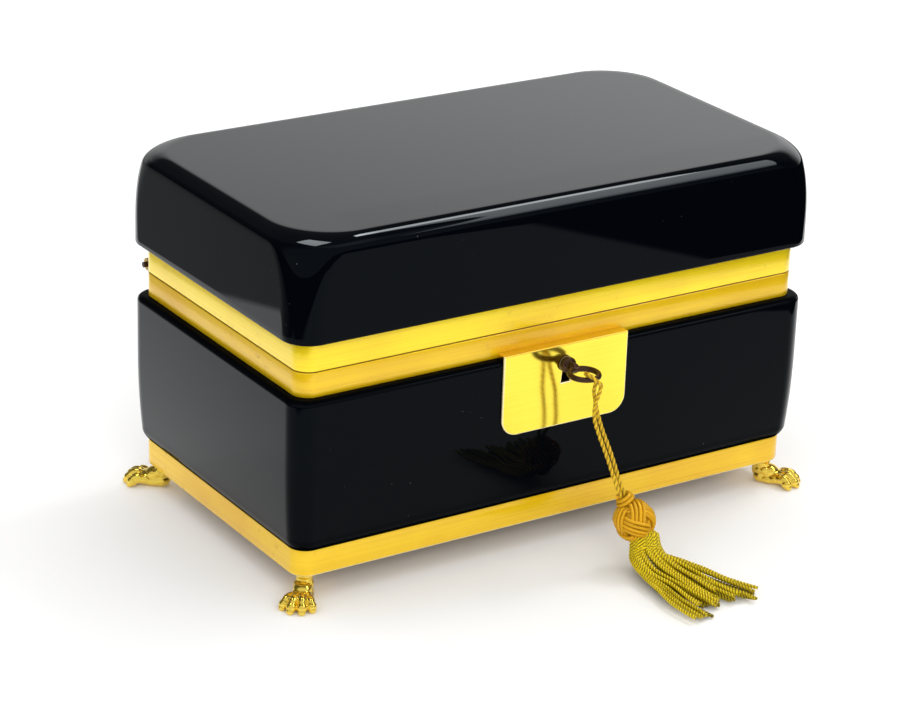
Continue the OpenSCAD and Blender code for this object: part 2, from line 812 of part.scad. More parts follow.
// Oval ring of round bar, flat in the XY plane
module bow_ring() {
    steps = 28;
    sides = 8;
    a = bow_w / 2 - bow_bar_r;
    b = bow_l / 2 - bow_bar_r;
    points = [
        for (i = [0:steps - 1])
            let (t = 360 * i / steps, out = unit([b * cos(t), a * sin(t), 0]))
            for (k = [0:sides - 1])
                let (s = 360 * (k + 0.5) / sides)
                [a * cos(t), b * sin(t), 0] + bow_bar_r * (cos(s) * out + [0, 0, sin(s)])
    ];
    faces = [
        for (i = [0:steps - 1]) for (k = [0:sides - 1])
            let (
                i2 = (i + 1) % steps, k2 = (k + 1) % sides,
                p = i * sides + k, q = i2 * sides + k, r = i2 * sides + k2, s = i * sides + k2
            )
            each [[p, r, q], [p, s, r]]
    ];
    polyhedron(points, faces);
}

module key() {
    collar_r = shaft_r + 0.8;
    collar_l = 1.2;
    ward = 0.8;
    color(steel)
        difference() {
            union() {
                rod_y(0, key_z, shaft_r, bow_y + bow_l / 2 - bow_bar_r, shaft_end);
                rod_y(0, key_z, collar_r, plate_front - 0.4 - collar_l, plate_front - 0.4);
                translate([0, bow_y, key_z]) bow_ring();
                block(
                    [-bit_r, bit_y - bit_w / 2, key_z - bit_t / 2],
                    [-shaft_r / 2, bit_y + bit_w / 2, key_z + bit_t / 2]
                );
            }
            rod_y(0, key_z, drill_pin_r + run_fit, shaft_end - bore_l, shaft_end + 1);
            block(
                [-bit_r - 1, bit_y - ward / 2, key_z - bit_t],
                [-bit_r + 1.6, bit_y + ward / 2, key_z + bit_t]
            );
        }
}

module tassel_cord() {
    sides = 8;
    route = smooth_route(cord_route, 2);
    n = len(route);
    points = [
        for (i = [0:n - 1])
            let (
                way = unit(route[min(i + 1, n - 1)] - route[max(i - 1, 0)]),
                u = unit(cross(way, [1, 0, 1])),
                v = cross(way, u)
            )
            for (k = [0:sides - 1])
                let (a = 360 * k / sides)
                route[i] + strand_r * (cos(a) * u + sin(a) * v)
    ];
    color(silk) skin(points, sides, n);
}

// Ball knot with the whipping that the two strands come out of
module tassel_knot() {
    lean = acos(cord_way[2] / norm(cord_way));
    turn = atan2(cord_way[1], cord_way[0]);
    color(silk)
        translate(knot_at) {
            sphere(knot_r);
            rotate([0, lean, turn]) cylinder(r = whipping_r, h = whipping_l);
        }
}

// Fringe that hangs from the knot and lies on the table, ridged along its strands
module tassel_skirt() {
    steps = 8 * fringe_ridges;
    n = len(fringe_line);
    points = [
        for (i = [0:n - 1])
            let (
                way = i == 0 ? -unit(cord_way) : unit(fringe_line[min(i + 1, n - 1)] - fringe_line[i - 1]),
                side = unit([1, 0, 0] - way[0] * way),
                up = cross(way, side)
            )
            for (k = [0:steps - 1])
                let (
                    a = 360 * (k - 1) / steps,
                    ripple = ridge_h * abs(sin(a * fringe_ridges)),
                    across = (fringe_half[i][0] - ripple) * cos(a) * side,
                    above = (fringe_half[i][1] - ripple) * sin(a) * up
                )
                fringe_line[i] + across + above
    ];
    color(silk) skin(points, steps, n);
}

base_glass();
base_rim_frame();
lock_plate();
foot_frame();
paw_foot(-1, -1);  // paw_foot_front_left
paw_foot(1, -1);  // paw_foot_front_right
paw_foot(-1, 1);  // paw_foot_back_left
paw_foot(1, 1);  // paw_foot_back_right
foot_nuts();
base_hinge_leaf();
hinge_pin();
base_hinge_rivets();
lock_case();
lock_cover();
lock_screws();
drill_pin();
bolt_spring();
tassel_cord();
tassel_knot();
tassel_skirt();
lid_glass();
lid_rim_frame();
lid_hinge_leaf();
lid_hinge_rivets();
lid_staple();
staple_rivets();
key();
lock_bolt();
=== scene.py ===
import random
from math import asin, copysign, cos, degrees, pi, radians, sin

import bmesh
import bpy
from mathutils import Matrix, Vector


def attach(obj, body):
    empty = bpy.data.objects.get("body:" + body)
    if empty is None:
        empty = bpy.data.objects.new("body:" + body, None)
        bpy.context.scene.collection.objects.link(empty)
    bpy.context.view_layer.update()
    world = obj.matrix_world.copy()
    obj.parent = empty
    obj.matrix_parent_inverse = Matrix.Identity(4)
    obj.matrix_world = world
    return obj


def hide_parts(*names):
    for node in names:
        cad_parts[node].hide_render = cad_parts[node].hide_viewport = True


bl_info = {
    "name": "Glass casket",
    "version": (1, 0, 0),
    "blender": (4, 5, 0),
    "location": "3D View > Sidebar > Casket",
    "description": "Dresses the casket's frame: glass, gilt bands, lock, key, paws and tassel",
    "category": "Object",
}

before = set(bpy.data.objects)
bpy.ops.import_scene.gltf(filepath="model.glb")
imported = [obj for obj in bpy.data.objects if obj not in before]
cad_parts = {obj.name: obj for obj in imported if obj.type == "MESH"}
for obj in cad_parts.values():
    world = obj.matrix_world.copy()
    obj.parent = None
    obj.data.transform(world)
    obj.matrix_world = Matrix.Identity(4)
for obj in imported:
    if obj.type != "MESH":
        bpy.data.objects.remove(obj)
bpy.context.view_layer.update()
MM = 0.001
GROUPS = {}
FINISH = {}

# Half sizes in plan, in millimetres
BASE_HALF = (84.5, 47.2)
LID_HALF = (85.3, 48.0)
RIM_HALF = (81.9, 44.6)
HOLLOW_HALF = (78.0, 40.7)
FOOT_HALF = (82.1, 44.8)
STUD = (77.7, 40.8)
PLATE_HALF = 20.5

# Heights, in millimetres
Z_FOOT = 8.0
Z_SOLE = 14.6
Z_FLOOR = 20.1
Z_PLATE_LOW = 37.4
KEY_Z = 55.3
Z_LEDGE = 59.6
Z_PLATE_TOP = 61.2
Z_BASE_RIM = 66.7
Z_LID_RIM = 66.9
Z_LID_GLASS = 75.5
Z_CEILING = 97.4
Z_TOP = 103.9

# Walls, radii and turns
GLASS_WALL = 6.5
LID_OVER = 0.8
BAND_T = 0.9
NECK_GAP = 0.15
NECK_INSET = 3.65
NECK_R = 3.95
HOLLOW_R = 3.0
HOLLOW_ROUND = 4.0
FLAT_EDGE = 0.8
BASE_R = 6.0
RIM_R = 5.0
LID_R = 8.0
CROWN_GAIN = 9.6
CROWN_H = 25.0
CROWN_POWER = 3.0
CORNER_STEPS = 20
PAW_TURN = 48

# Cord route from the whipping up to the bow, round it and back, in millimetres
CORD_ROUTE = (
    (8.82, -67.08, 20.22), (8.45, -66.71, 21.6), (7.87, -65.98, 23.4), (7.55, -64.94, 25.4),
    (7.51, -63.47, 27.8), (7.12, -61.93, 31.0), (6.13, -60.55, 35.0), (4.98, -59.39, 39.0),
    (4.01, -58.55, 43.0), (2.9, -58.52, 47.0), (1.95, -58.8, 50.8), (1.9, -59.3, 53.6),
    (0.6, -58.3, 54.8), (-0.6, -58.3, 56.0), (-1.5, -59.4, 56.9), (-1.8, -60.7, 57.2),
    (-1.5, -62.0, 56.9), (-0.6, -63.1, 56.0), (0.6, -63.1, 54.8), (1.9, -62.0, 53.7),
    (1.75, -61.5, 51.2), (1.15, -60.6, 47.0), (1.32, -60.74, 43.0), (2.34, -61.47, 39.0),
    (3.53, -62.53, 35.0), (4.57, -63.8, 31.0), (5.26, -64.85, 27.8), (5.81, -65.53, 25.4),
    (6.41, -66.12, 23.4), (7.11, -66.69, 21.6), (7.53, -66.99, 20.22),
)
NECK_AT = (10.4, -68.9, 15.5)
CORD_WAY = (-0.37, 0.31, 0.87)
KNOT_AT = (10.25, -69.2, 14.6)
KNOT_R = 6.55
KNOT_TURN = ((-0.9009, -0.2935, -0.3197), (0.0394, -0.7888, 0.6134), (-0.4322, 0.54, 0.7222))

# Fringe rows from the ball to the tips: middle x, y, z, half width and half thickness, in millimetres
FRINGE_ROWS = (
    (12.78, -70.89, 9.9, 4.4, 3.8), (12.2, -72.8, 6.0, 5.0, 4.0), (11.3, -76.6, 4.5, 6.2, 3.4),
    (12.2, -82.0, 3.3, 8.6, 2.7), (13.4, -88.6, 2.7, 10.3, 2.5), (14.6, -95.6, 2.2, 11.8, 2.1),
    (16.8, -104.0, 1.85, 13.6, 1.7),
)


def metres(name, about, default):
    return bpy.props.FloatProperty(name=name, description=about, default=default, unit="LENGTH")


def tint(name, about, default):
    return bpy.props.FloatVectorProperty(name=name, description=about, default=default, subtype="COLOR")


class CasketSizes(bpy.types.PropertyGroup):
    """Sizes of the dressed pieces that a user would change"""

    band_edge: metres("Band edge", "Rounding of the bands' edges", 0.0003)
    plate_edge: metres("Plate edge", "Rounding of the lock plate's edges", 0.00032)
    cord_width: metres("Cord width", "Diameter of the key's cord", 0.0012)
    cord_pitch: metres("Cord pitch", "Length of one turn of the cord's plies", 0.0036)
    knot_pass: metres("Knot pass", "Diameter of one pass of the ball knot", 0.00108)
    fringe_width: metres("Fringe width", "Diameter of one strand of the fringe", 0.00112)
    fringe_pitch: metres("Fringe pitch", "Length of one turn of a fringe strand", 0.0019)
    fringe_count: bpy.props.IntProperty(
        name="Fringe strands", description="Strands in each layer of the fringe", default=22, min=5, max=40
    )


class CasketColours(bpy.types.PropertyGroup):
    """Colours of the casket's finishes"""

    glass: tint("Glass", "Body colour of the black glass", (0.0006, 0.0011, 0.0022))
    gilt: tint("Gilt", "Bright gilding of the lid's band", (1.0, 0.76, 0.006))
    satin: tint("Satin gilt", "Duller gilding of the base's bands", (0.94, 0.61, 0.004))
    tarnish: tint("Tarnish", "Spots where the gilding has worn", (0.42, 0.20, 0.035))
    brass: tint("Brass", "Plain brass of the hinge and the lock", (0.62, 0.42, 0.14))
    steel: tint("Browned steel", "Key, pins and bolt", (0.085, 0.050, 0.036))
    cord: tint("Cord silk", "Silk of the cord", (0.80, 0.50, 0.02))
    knot: tint("Knot silk", "Silk of the ball knot", (0.80, 0.42, 0.010))
    fringe: tint("Fringe silk", "Silk of the fringe", (1.0, 0.75, 0.012))
    floor: tint("Floor", "Table under the casket", (0.96, 0.96, 0.96))


def sizes():
    return bpy.context.scene.casket_sizes


def colours():
    return bpy.context.scene.casket_colours


def in_mm(length):
    return length / MM


def assign(thing, **settings):
    for name, value in settings.items():
        setattr(thing, name, value)
    return thing


def placed(name, data):
    """New object in the scene."""
    thing = bpy.data.objects.new(name, data)
    bpy.context.scene.collection.objects.link(thing)
    return thing


# Nodes


def feed(node, inputs):
    """Sets each named input to a value, or links it to an output."""
    for name, value in inputs.items():
        if isinstance(value, bpy.types.NodeSocket):
            node.id_data.links.new(value, node.inputs[name])
        else:
            node.inputs[name].default_value = value


def add(tree, kind, inputs=None, **settings):
    node = assign(tree.nodes.new(kind), **settings)
    feed(node, inputs or {})
    return node


def declare(tree, way, kind, names):
    for name in names:
        tree.interface.new_socket(name=name, in_out=way, socket_type="NodeSocket" + kind)


def maths(operation, *values, clamp=False):
    """Result of a math node, in the tree that the values come from."""
    tree = next(value.id_data for value in values if isinstance(value, bpy.types.NodeSocket))
    node = add(tree, "ShaderNodeMath", dict(enumerate(values)), operation=operation, use_clamp=clamp)
    return node.outputs[0]


def times(first, second, clamp=False):
    return maths("MULTIPLY", first, second, clamp=clamp)


def plus(first, second):
    return maths("ADD", first, second)


def largest(first, second):
    return maths("MAXIMUM", first, second)


def ramp(source, low, high, to_low=0.0, to_high=1.0):
    inputs = {"Value": source, "From Min": low, "From Max": high, "To Min": to_low, "To Max": to_high}
    return add(source.id_data, "ShaderNodeMapRange", inputs, clamp=True).outputs["Result"]


def mix_value(factor, first, second):
    inputs = {0: factor, 2: first, 3: second}
    return add(factor.id_data, "ShaderNodeMix", inputs, data_type="FLOAT").outputs[0]


def mix_colour(factor, first, second):
    inputs = {0: factor}
    for index, value in ((6, first), (7, second)):
        inputs[index] = value if isinstance(value, bpy.types.NodeSocket) else (*value[:3], 1.0)
    return add(factor.id_data, "ShaderNodeMix", inputs, data_type="RGBA").outputs[2]


def noise(vector, scale, detail=2.0, stretch=None):
    tree = vector.id_data
    if stretch:
        vector = add(tree, "ShaderNodeMapping", {"Vector": vector, "Scale": stretch}).outputs[0]
    return add(tree, "ShaderNodeTexNoise", {"Vector": vector, "Scale": scale, "Detail": detail}).outputs[0]


def split(vector):
    return add(vector.id_data, "ShaderNodeSeparateXYZ", {0: vector}).outputs


def along(vector, direction):
    inputs = {0: vector, 1: direction}
    return add(vector.id_data, "ShaderNodeVectorMath", inputs, operation="DOT_PRODUCT").outputs["Value"]


def bump(height, strength, distance):
    inputs = {"Height": height, "Strength": strength, "Distance": distance}
    return add(height.id_data, "ShaderNodeBump", inputs).outputs["Normal"]


# Shader groups and finishes


def shader_group(name, inputs, outputs):
    """A shader node group with a vector, float inputs and float outputs."""
    tree = bpy.data.node_groups.new(name, "ShaderNodeTree")
    declare(tree, "INPUT", "Vector", ("Vector",))
    declare(tree, "INPUT", "Float", inputs)
    declare(tree, "OUTPUT", "Float", outputs)
    return tree, add(tree, "NodeGroupInput").outputs, add(tree, "NodeGroupOutput")


def worn_gilding_group():
    """Spots of tarnish, a satin grain along the metal and patches of handling."""
    outputs = ("Tarnish", "Streak", "Rough", "Height")
    tree, given, end = shader_group("Worn gilding", ("Spots", "Grain", "Brush"), outputs)
    vector = given["Vector"]
    patches = noise(vector, 55.0, 4.0)
    specks = noise(vector, 520.0, 3.0)
    crowded = times(ramp(patches, 0.56, 0.72), ramp(specks, 0.60, 0.74))
    lone = times(ramp(specks, 0.72, 0.80), 0.5)
    spots = largest(crowded, lone)
    lines = noise(vector, 1.0, 3.0, stretch=(14.0, 14.0, 2600.0))
    broad = noise(vector, 30.0, 3.0)
    brushed = times(ramp(lines, 0.42, 0.68), 0.4)
    cloudy = times(ramp(broad, 0.45, 0.72), 0.6)
    grain = times(lines, given["Grain"])
    rough = plus(grain, times(broad, 0.12))
    feed(end, {
        "Tarnish": times(spots, given["Spots"], clamp=True),
        "Streak": times(plus(brushed, cloudy), given["Brush"], clamp=True),
        "Rough": plus(rough, times(spots, 0.3)),
        "Height": grain,
    })
    return tree


def dust_group():
    """Sparse dust specks and fine wiping marks on polished glass."""
    tree, given, end = shader_group("Glass dust", ("Amount",), ("Dust", "Rough", "Wave"))
    vector = given["Vector"]
    cells = add(tree, "ShaderNodeTexVoronoi", {"Vector": vector, "Scale": 260.0})
    near = ramp(cells.outputs["Distance"], 0.035, 0.06, 1.0, 0.0)
    chosen = ramp(noise(vector, 90.0), 0.55, 0.62)
    feed(end, {
        "Dust": times(times(near, chosen), given["Amount"], clamp=True),
        "Rough": ramp(noise(vector, 24.0, 4.0), 0.3, 0.8, 0.0, 0.03),
        "Wave": noise(vector, 16.0, 1.0),
    })
    return tree


def silk_group():
    """Fine fibre streaks and a shade for each strand."""
    tree, given, end = shader_group("Silk fibres", ("Shade",), ("Light", "Height"))
    fibres = noise(given["Vector"], 2400.0)
    cloud = noise(given["Vector"], 260.0)
    mixed = plus(times(fibres, 0.3), times(cloud, 0.3))
    feed(end, {"Light": plus(mixed, times(given["Shade"], 0.4)), "Height": fibres})
    return tree


def finish_material(name):
    material = assign(bpy.data.materials.new(name), use_nodes=True)
    tree = material.node_tree
    return material, tree.nodes["Principled BSDF"], add(tree, "ShaderNodeTexCoord").outputs["Object"]


def use_group(name, vector, **values):
    inputs = {"Vector": vector, **values}
    return add(vector.id_data, "ShaderNodeGroup", inputs, node_tree=GROUPS[name]).outputs


def glass_material():
    """Polished black glass with a ground ledge; its gloss grows with the slant of the view."""
    dust_colour = (0.16, 0.15, 0.15)
    material, shader, vector = finish_material("Black glass")
    tree = material.node_tree
    dust = use_group("dust", vector, Amount=0.35)
    x, y, z = split(vector)
    ledge = times(ramp(z, 0.0588, 0.0590), ramp(z, 0.0600, 0.0602, 1.0, 0.0))
    facing = add(tree, "ShaderNodeLayerWeight", {"Blend": 0.5}).outputs["Facing"]
    slant = maths("POWER", ramp(facing, 0.22, 0.66), 2.7)
    front = ramp(y, -0.044, -0.028, 0.55, 1.0)
    corner = ramp(x, -0.066, -0.052, 1.0, 0.0)
    crown = times(ramp(z, 0.1014, 0.1021, 0.0, 0.46), largest(front, corner))
    gloss = largest(plus(times(slant, 0.345), 0.058), crown)
    sole = ramp(z, 0.0168, 0.0195)
    rim = ramp(facing, 0.70, 0.90, 1.0, 0.0)
    polished = maths("SUBTRACT", 1.0, times(ledge, 0.85))
    polished = times(polished, times(sole, rim))
    feed(shader, {
        "Base Color": mix_colour(dust["Dust"], colours().glass, dust_colour),
        "Roughness": plus(plus(dust["Rough"], 0.015), times(ledge, 0.5)),
        "Specular IOR Level": times(gloss, polished),
        "IOR": 1.5,
        "Specular Tint": (0.86, 0.96, 1.0, 1.0),
        "Normal": bump(dust["Wave"], 0.03, 0.0003),
    })
    return material


def gilt_material(name, colour, base_rough, spots, grain, depth, metallic=0.6, lacquer=0.9, brush=1.0):
    """Metal with worn gilding, whose brush marks show a deeper tone."""
    deepen = (0.86, 0.72, 0.5)
    material, shader, vector = finish_material(name)
    wear = use_group("gilding", vector, Spots=spots, Grain=grain, Brush=brush)
    deep = [share * tone for share, tone in zip(deepen, colour)]
    brushed = mix_colour(wear["Streak"], colour, deep)
    feed(shader, {
        "Base Color": mix_colour(wear["Tarnish"], brushed, colours().tarnish),
        "Roughness": plus(wear["Rough"], base_rough),
        "Metallic": metallic,
        "Specular IOR Level": 0.2,
        "Coat Weight": lacquer,
        "Coat Roughness": 0.15,
        "Normal": bump(wear["Height"], 0.25, depth),
    })
    return material


def silk_material(name, colour, dark):
    """Silk with painted shade in the grooves between its plies."""
    material, shader, vector = finish_material(name)
    tree = material.node_tree
    shade_at = add(tree, "ShaderNodeAttribute", attribute_name="shade").outputs["Fac"]
    painted_groove_shade = add(tree, "ShaderNodeAttribute", attribute_name="painted_groove_shade").outputs["Fac"]
    silk = use_group("silk", vector, Shade=shade_at)
    # Painted shade: the colour goes toward the dark share in the grooves between plies
    ridge = ramp(painted_groove_shade, 0.15, 0.9, 1.0, 0.0)
    light = ramp(silk["Light"], 0.25, 0.7, 0.45, 1.0)
    feed(shader, {
        "Base Color": mix_colour(times(light, ridge), dark, colour),
        "Roughness": 0.36,
        "Metallic": 0.2,
        "Specular IOR Level": 0.25,
        "Sheen Weight": 0.12,
        "Sheen Roughness": 0.4,
        "Sheen Tint": (1.0, 0.75, 0.2, 1.0),
        "Normal": bump(silk["Height"], 0.3, 0.00006),
    })
    return material


def make_finishes():
    tone = colours()
    GROUPS.update(gilding=worn_gilding_group(), dust=dust_group(), silk=silk_group())
    FINISH["glass"] = glass_material()
    # Name, colour, roughness, spots, grain and its depth, then metallic, lacquer and brush marks
    metals = {
        "gilt": ("Bright gilt", tone.gilt, 0.24, 0.45, 0.10, 0.00004),
        "satin": ("Satin gilt", tone.satin, 0.30, 0.6, 0.16, 0.00006),
        "plate": ("Polished gilt", (1.0, 0.82, 0.09), 0.05, 0.2, 0.02, 0.00001, 1.0, 0.0, 0.5),
        # The edge finish is a paler gilt; its paleness is a painted highlight along the rims
        "edge": ("Polished edge", (1.0, 0.90, 0.50), 0.2, 0.2, 0.04, 0.00001, 0.4, 1.0),
        "cast": ("Cast gilt", (0.94, 0.70, 0.10), 0.12, 0.8, 0.05, 0.00005, 0.95, 0.3),
        "brass": ("Plain brass", tone.brass, 0.24, 0.8, 0.12, 0.00005, 0.9, 0.0),
        "steel": ("Browned steel", tone.steel, 0.26, 0.5, 0.1, 0.00008, 0.9, 0.0),
    }
    for key, values in metals.items():
        FINISH[key] = gilt_material(*values)
    # Name, colour, and the shares of it on the ridges and in the grooves; the share in the grooves is painted
    # shade
    silks = {
        "cord": ("Cord silk", tone.cord, 1.0, 0.34),
        "knot": ("Knot silk", tone.knot, 1.0, 0.3),
        "fringe": ("Fringe silk", tone.fringe, 1.0, 0.3),
        # The under layer's silk is the fringe silk at half its light: painted shade for the layer beneath
        "under": ("Under silk in painted shade", tone.fringe, 0.5, 0.12),
    }
    for key, (name, colour, light, dark) in silks.items():
        FINISH[key] = silk_material(name, [light * c for c in colour], [dark * c for c in colour])


# Mesh helpers, in millimetres until a piece is finished


def circle(steps):
    return [2 * pi * step / steps for step in range(steps)]


def arc(centre, height, radius, start, stop, steps):
    points = []
    for step in range(steps + 1):
        angle = radians(start + (stop - start) * step / steps)
        points.append((centre + radius * cos(angle), height + radius * sin(angle)))
    return points


def ring(half, radius, z):
    """Points of a rounded rectangle, with support points beside each corner."""
    support = 0.6
    points = []
    straight = (2 * (half[0] - radius), 2 * (half[1] - radius))
    for quarter, (sx, sy) in enumerate(((1, 1), (-1, 1), (-1, -1), (1, -1))):
        for step in range(CORNER_STEPS + 1):
            angle = radians(90 * (quarter + step / CORNER_STEPS))
            x = sx * (half[0] - radius) + radius * cos(angle)
            y = sy * (half[1] - radius) + radius * sin(angle)
            points.append((x, y, z))
        length = straight[quarter % 2]
        turn = radians(90 * (quarter + 2))
        x, y = points[-1][:2]
        for reach in (support, 0.25 * length, 0.5 * length, 0.75 * length, length - support):
            points.append((x + reach * cos(turn), y + reach * sin(turn), z))
    return points


def inset_ring(half, inset, radius, z):
    return ring((half[0] - inset, half[1] - inset), radius, z)


def as_mesh(name, work):
    mesh = bpy.data.meshes.new(name)
    work.to_mesh(mesh)
    work.free()
    return mesh


def loft(name, rings, closed=False):
    """Quads between rings of equal count, with flat ends unless the profile is closed."""
    count = len(rings[0])
    vertices = [point for one in rings for point in one]
    faces = []
    for row in range(len(rings) if closed else len(rings) - 1):
        below = row * count
        above = ((row + 1) % len(rings)) * count
        for i in range(count):
            j = (i + 1) % count
            faces.append((below + i, below + j, above + j, above + i))
    if not closed:
        faces.append(tuple(reversed(range(count))))
        faces.append(tuple(range((len(rings) - 1) * count, len(rings) * count)))
    mesh = bpy.data.meshes.new(name)
    mesh.from_pydata(vertices, [], faces)
    work = bmesh.new()
    work.from_mesh(mesh)
    bmesh.ops.recalc_face_normals(work, faces=work.faces)
    work.to_mesh(mesh)
    work.free()
    return mesh


def smooth(mesh):
    for face in mesh.polygons:
        face.use_smooth = True
    return mesh


def shade(mesh, angle):
    smooth(mesh).set_sharp_from_angle(angle=radians(angle))
    return mesh


def box_mesh(name, low, high, edge=0.0):
    work = bmesh.new()
    bmesh.ops.create_cube(work, size=1.0)
    for vertex in work.verts:
        for axis in range(3):
            vertex.co[axis] = low[axis] if vertex.co[axis] < 0 else high[axis]
    if edge:
        bmesh.ops.bevel(work, geom=list(work.edges), offset=edge, segments=2, affect="EDGES", profile=0.5)
    return as_mesh(name, work)


def merged(name, meshes):
    """One mesh from several, each kept as its own closed shell."""
    work = bmesh.new()
    for mesh in meshes:
        work.from_mesh(mesh)
        bpy.data.meshes.remove(mesh)
    return as_mesh(name, work)


def temporary(data):
    return placed(data.name + "_work", data)


def drop(source):
    data = source.data
    bpy.data.objects.remove(source)
    store = bpy.data.meshes if isinstance(data, bpy.types.Mesh) else bpy.data.curves
    store.remove(data)


def baked(source, name):
    """Mesh of a temporary object with its modifiers applied; the object goes."""
    graph = bpy.context.evaluated_depsgraph_get()
    mesh = bpy.data.meshes.new_from_object(source.evaluated_get(graph))
    mesh.name = name
    drop(source)
    return mesh


def cut(mesh, cutter):
    """mesh with the cutter's space taken out."""
    source = temporary(mesh)
    tool = temporary(cutter)
    assign(source.modifiers.new("Cut", "BOOLEAN"), operation="DIFFERENCE", solver="EXACT", object=tool)
    result = baked(source, mesh.name + "_cut")
    drop(tool)
    return result


def add_spline(curve, points, closed):
    spline = curve.splines.new("POLY")
    spline.points.add(len(points) - 1)
    for target, place in zip(spline.points, points):
        target.co = (*place, 1.0)
    spline.use_cyclic_u = closed


def repaint(piece, finish, wanted):
    """Gives another finish to the faces whose middle and normal are wanted."""
    piece.data.materials.append(FINISH[finish])
    for face in piece.data.polygons:
        if wanted(face.center, face.normal):
            face.material_index = len(piece.data.materials) - 1


def finished(name, mesh, finish, body, nodes=(), scale=MM):
    """Puts a mesh into the scene as a piece of the casket."""
    if scale != 1.0:
        mesh.transform(Matrix.Scale(scale, 4))
    if not mesh.vertices:
        raise RuntimeError(name + " came out empty")
    mesh.name = name
    mesh.materials.clear()
    mesh.materials.append(FINISH[finish])
    piece = placed(name, mesh)
    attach(piece, body)
    if nodes:
        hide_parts(*nodes)
    return piece


# Glass


def base_glass_mesh():
    draw = 0.9
    draw_h = 22.0
    draw_steps = 10
    sole_round = 4.5
    ledge_round = 1.6
    low = Z_SOLE + sole_round
    neck = Z_BASE_RIM - BAND_T - NECK_GAP
    profile = [(draw + sole_round + FLAT_EDGE, Z_SOLE)]
    profile += arc(draw + sole_round, low, sole_round, 270, 180, 14)
    for step in range(1, draw_steps + 1):
        profile.append((draw * (1 - step / draw_steps) ** 2, low + draw_h * step / draw_steps))
    profile += arc(ledge_round, Z_LEDGE - ledge_round, ledge_round, 180, 90, 8)
    rings = [inset_ring(BASE_HALF, inset, BASE_R - inset / 2, z) for inset, z in profile]
    rings += [inset_ring(BASE_HALF, NECK_INSET, NECK_R, z) for z in (Z_LEDGE, neck)]
    rings.append(inset_ring(BASE_HALF, GLASS_WALL, HOLLOW_R, neck))
    bowl = arc(GLASS_WALL + HOLLOW_ROUND, Z_FLOOR + HOLLOW_ROUND, HOLLOW_ROUND, 180, 270, 10)
    bowl.append((GLASS_WALL + HOLLOW_ROUND + FLAT_EDGE, Z_FLOOR))
    rings += [inset_ring(BASE_HALF, inset, HOLLOW_R, z) for inset, z in bowl]
    notch = box_mesh("lock_notch", (-14.9, -60.0, 45.2), (14.9, -40.5, 72.0))
    return cut(loft("base_glass_body", rings), notch)


def lid_corner(z):
    rise = max(0.0, (z - (Z_TOP - CROWN_H)) / CROWN_H)
    return LID_R + CROWN_GAIN * rise ** CROWN_POWER


def lid_glass_mesh():
    wall = GLASS_WALL + LID_OVER
    chamfer = 0.6
    crown = 4.2
    side_steps = 16
    neck = Z_LID_RIM + BAND_T + NECK_GAP
    side_low = Z_LID_GLASS + chamfer
    side_high = Z_TOP - crown
    bowl = [(wall + HOLLOW_ROUND + FLAT_EDGE, Z_CEILING)]
    bowl += arc(wall + HOLLOW_ROUND, Z_CEILING - HOLLOW_ROUND, HOLLOW_ROUND, 90, 180, 10)
    bowl.append((wall, neck))
    rings = [inset_ring(LID_HALF, inset, HOLLOW_R, z) for inset, z in bowl]
    rings += [inset_ring(LID_HALF, LID_OVER + NECK_INSET, NECK_R, z) for z in (neck, Z_LID_GLASS)]
    lower = arc(chamfer, side_low, chamfer, 270, 180, 4)
    rings += [inset_ring(LID_HALF, inset, LID_R - inset, z) for inset, z in lower]
    heights = [side_low + (side_high - side_low) * step / side_steps for step in range(1, side_steps + 1)]
    upper = [(0.0, z) for z in heights]
    upper += arc(crown, side_high, crown, 180, 90, 16)[1:]
    upper.append((crown + FLAT_EDGE, Z_TOP))
    rings += [inset_ring(LID_HALF, inset, lid_corner(z), z) for inset, z in upper]
    return loft("lid_glass_body", rings)


# Bands


def band_rings(half, radius, profile):
    return [inset_ring(half, inset, max(radius - inset, 1.0), z) for inset, z in profile]


def rim_band(name, low, high, lip_low, lip_high):
    edge = in_mm(sizes().band_edge)
    outside = arc(edge, low + edge, edge, 270, 180, 3) + arc(edge, high - edge, edge, 180, 90, 3)
    rings = band_rings(RIM_HALF, RIM_R, outside)
    inner = [ring(HOLLOW_HALF, HOLLOW_R, z) for z in (lip_high, lip_low)]
    if lip_low == low:
        rings += band_rings(RIM_HALF, RIM_R, [(BAND_T, high), (BAND_T, lip_high)]) + inner
    else:
        rings += inner + band_rings(RIM_HALF, RIM_R, [(BAND_T, lip_low), (BAND_T, low)])
    return loft(name, rings, closed=True)


def tongue(half_width, slot_half, slot_end, low):
    """Tongue of the lip over the lock, with a slot for the staple."""
    front = -41.2
    back = -34.3
    edge = 0.1
    blocks = (
        (-half_width, front, -slot_half), (slot_half, front, half_width),
        (-slot_half - edge, slot_end, slot_half + edge),
    )
    high = low + BAND_T
    return [
        box_mesh("tongue", (left, start, low), (right, back, high), edge) for left, start, right in blocks
    ]


def corner_plate(x, y):
    """Plate in a corner of the foot frame that a paw is screwed to."""
    reach = 9.0
    thick = 1.2
    corner = 4.4
    steps = 48
    inner = (FOOT_HALF[0] - 0.6, FOOT_HALF[1] - 0.6)
    cx = copysign(inner[0] - corner, x)
    cy = copysign(inner[1] - corner, y)
    outline = []
    for angle in circle(steps):
        px = min(max(x + reach * cos(angle), -inner[0]), inner[0])
        py = min(max(y + reach * sin(angle), -inner[1]), inner[1])
        away = Vector((px - cx, py - cy))
        if away.x * x > 0 and away.y * y > 0 and away.length > corner:
            away.length = corner
            px = cx + away.x
            py = cy + away.y
        outline.append((px, py))
    return loft("corner_plate", [[(*point, z) for point in outline] for z in (Z_FOOT, Z_FOOT + thick)])


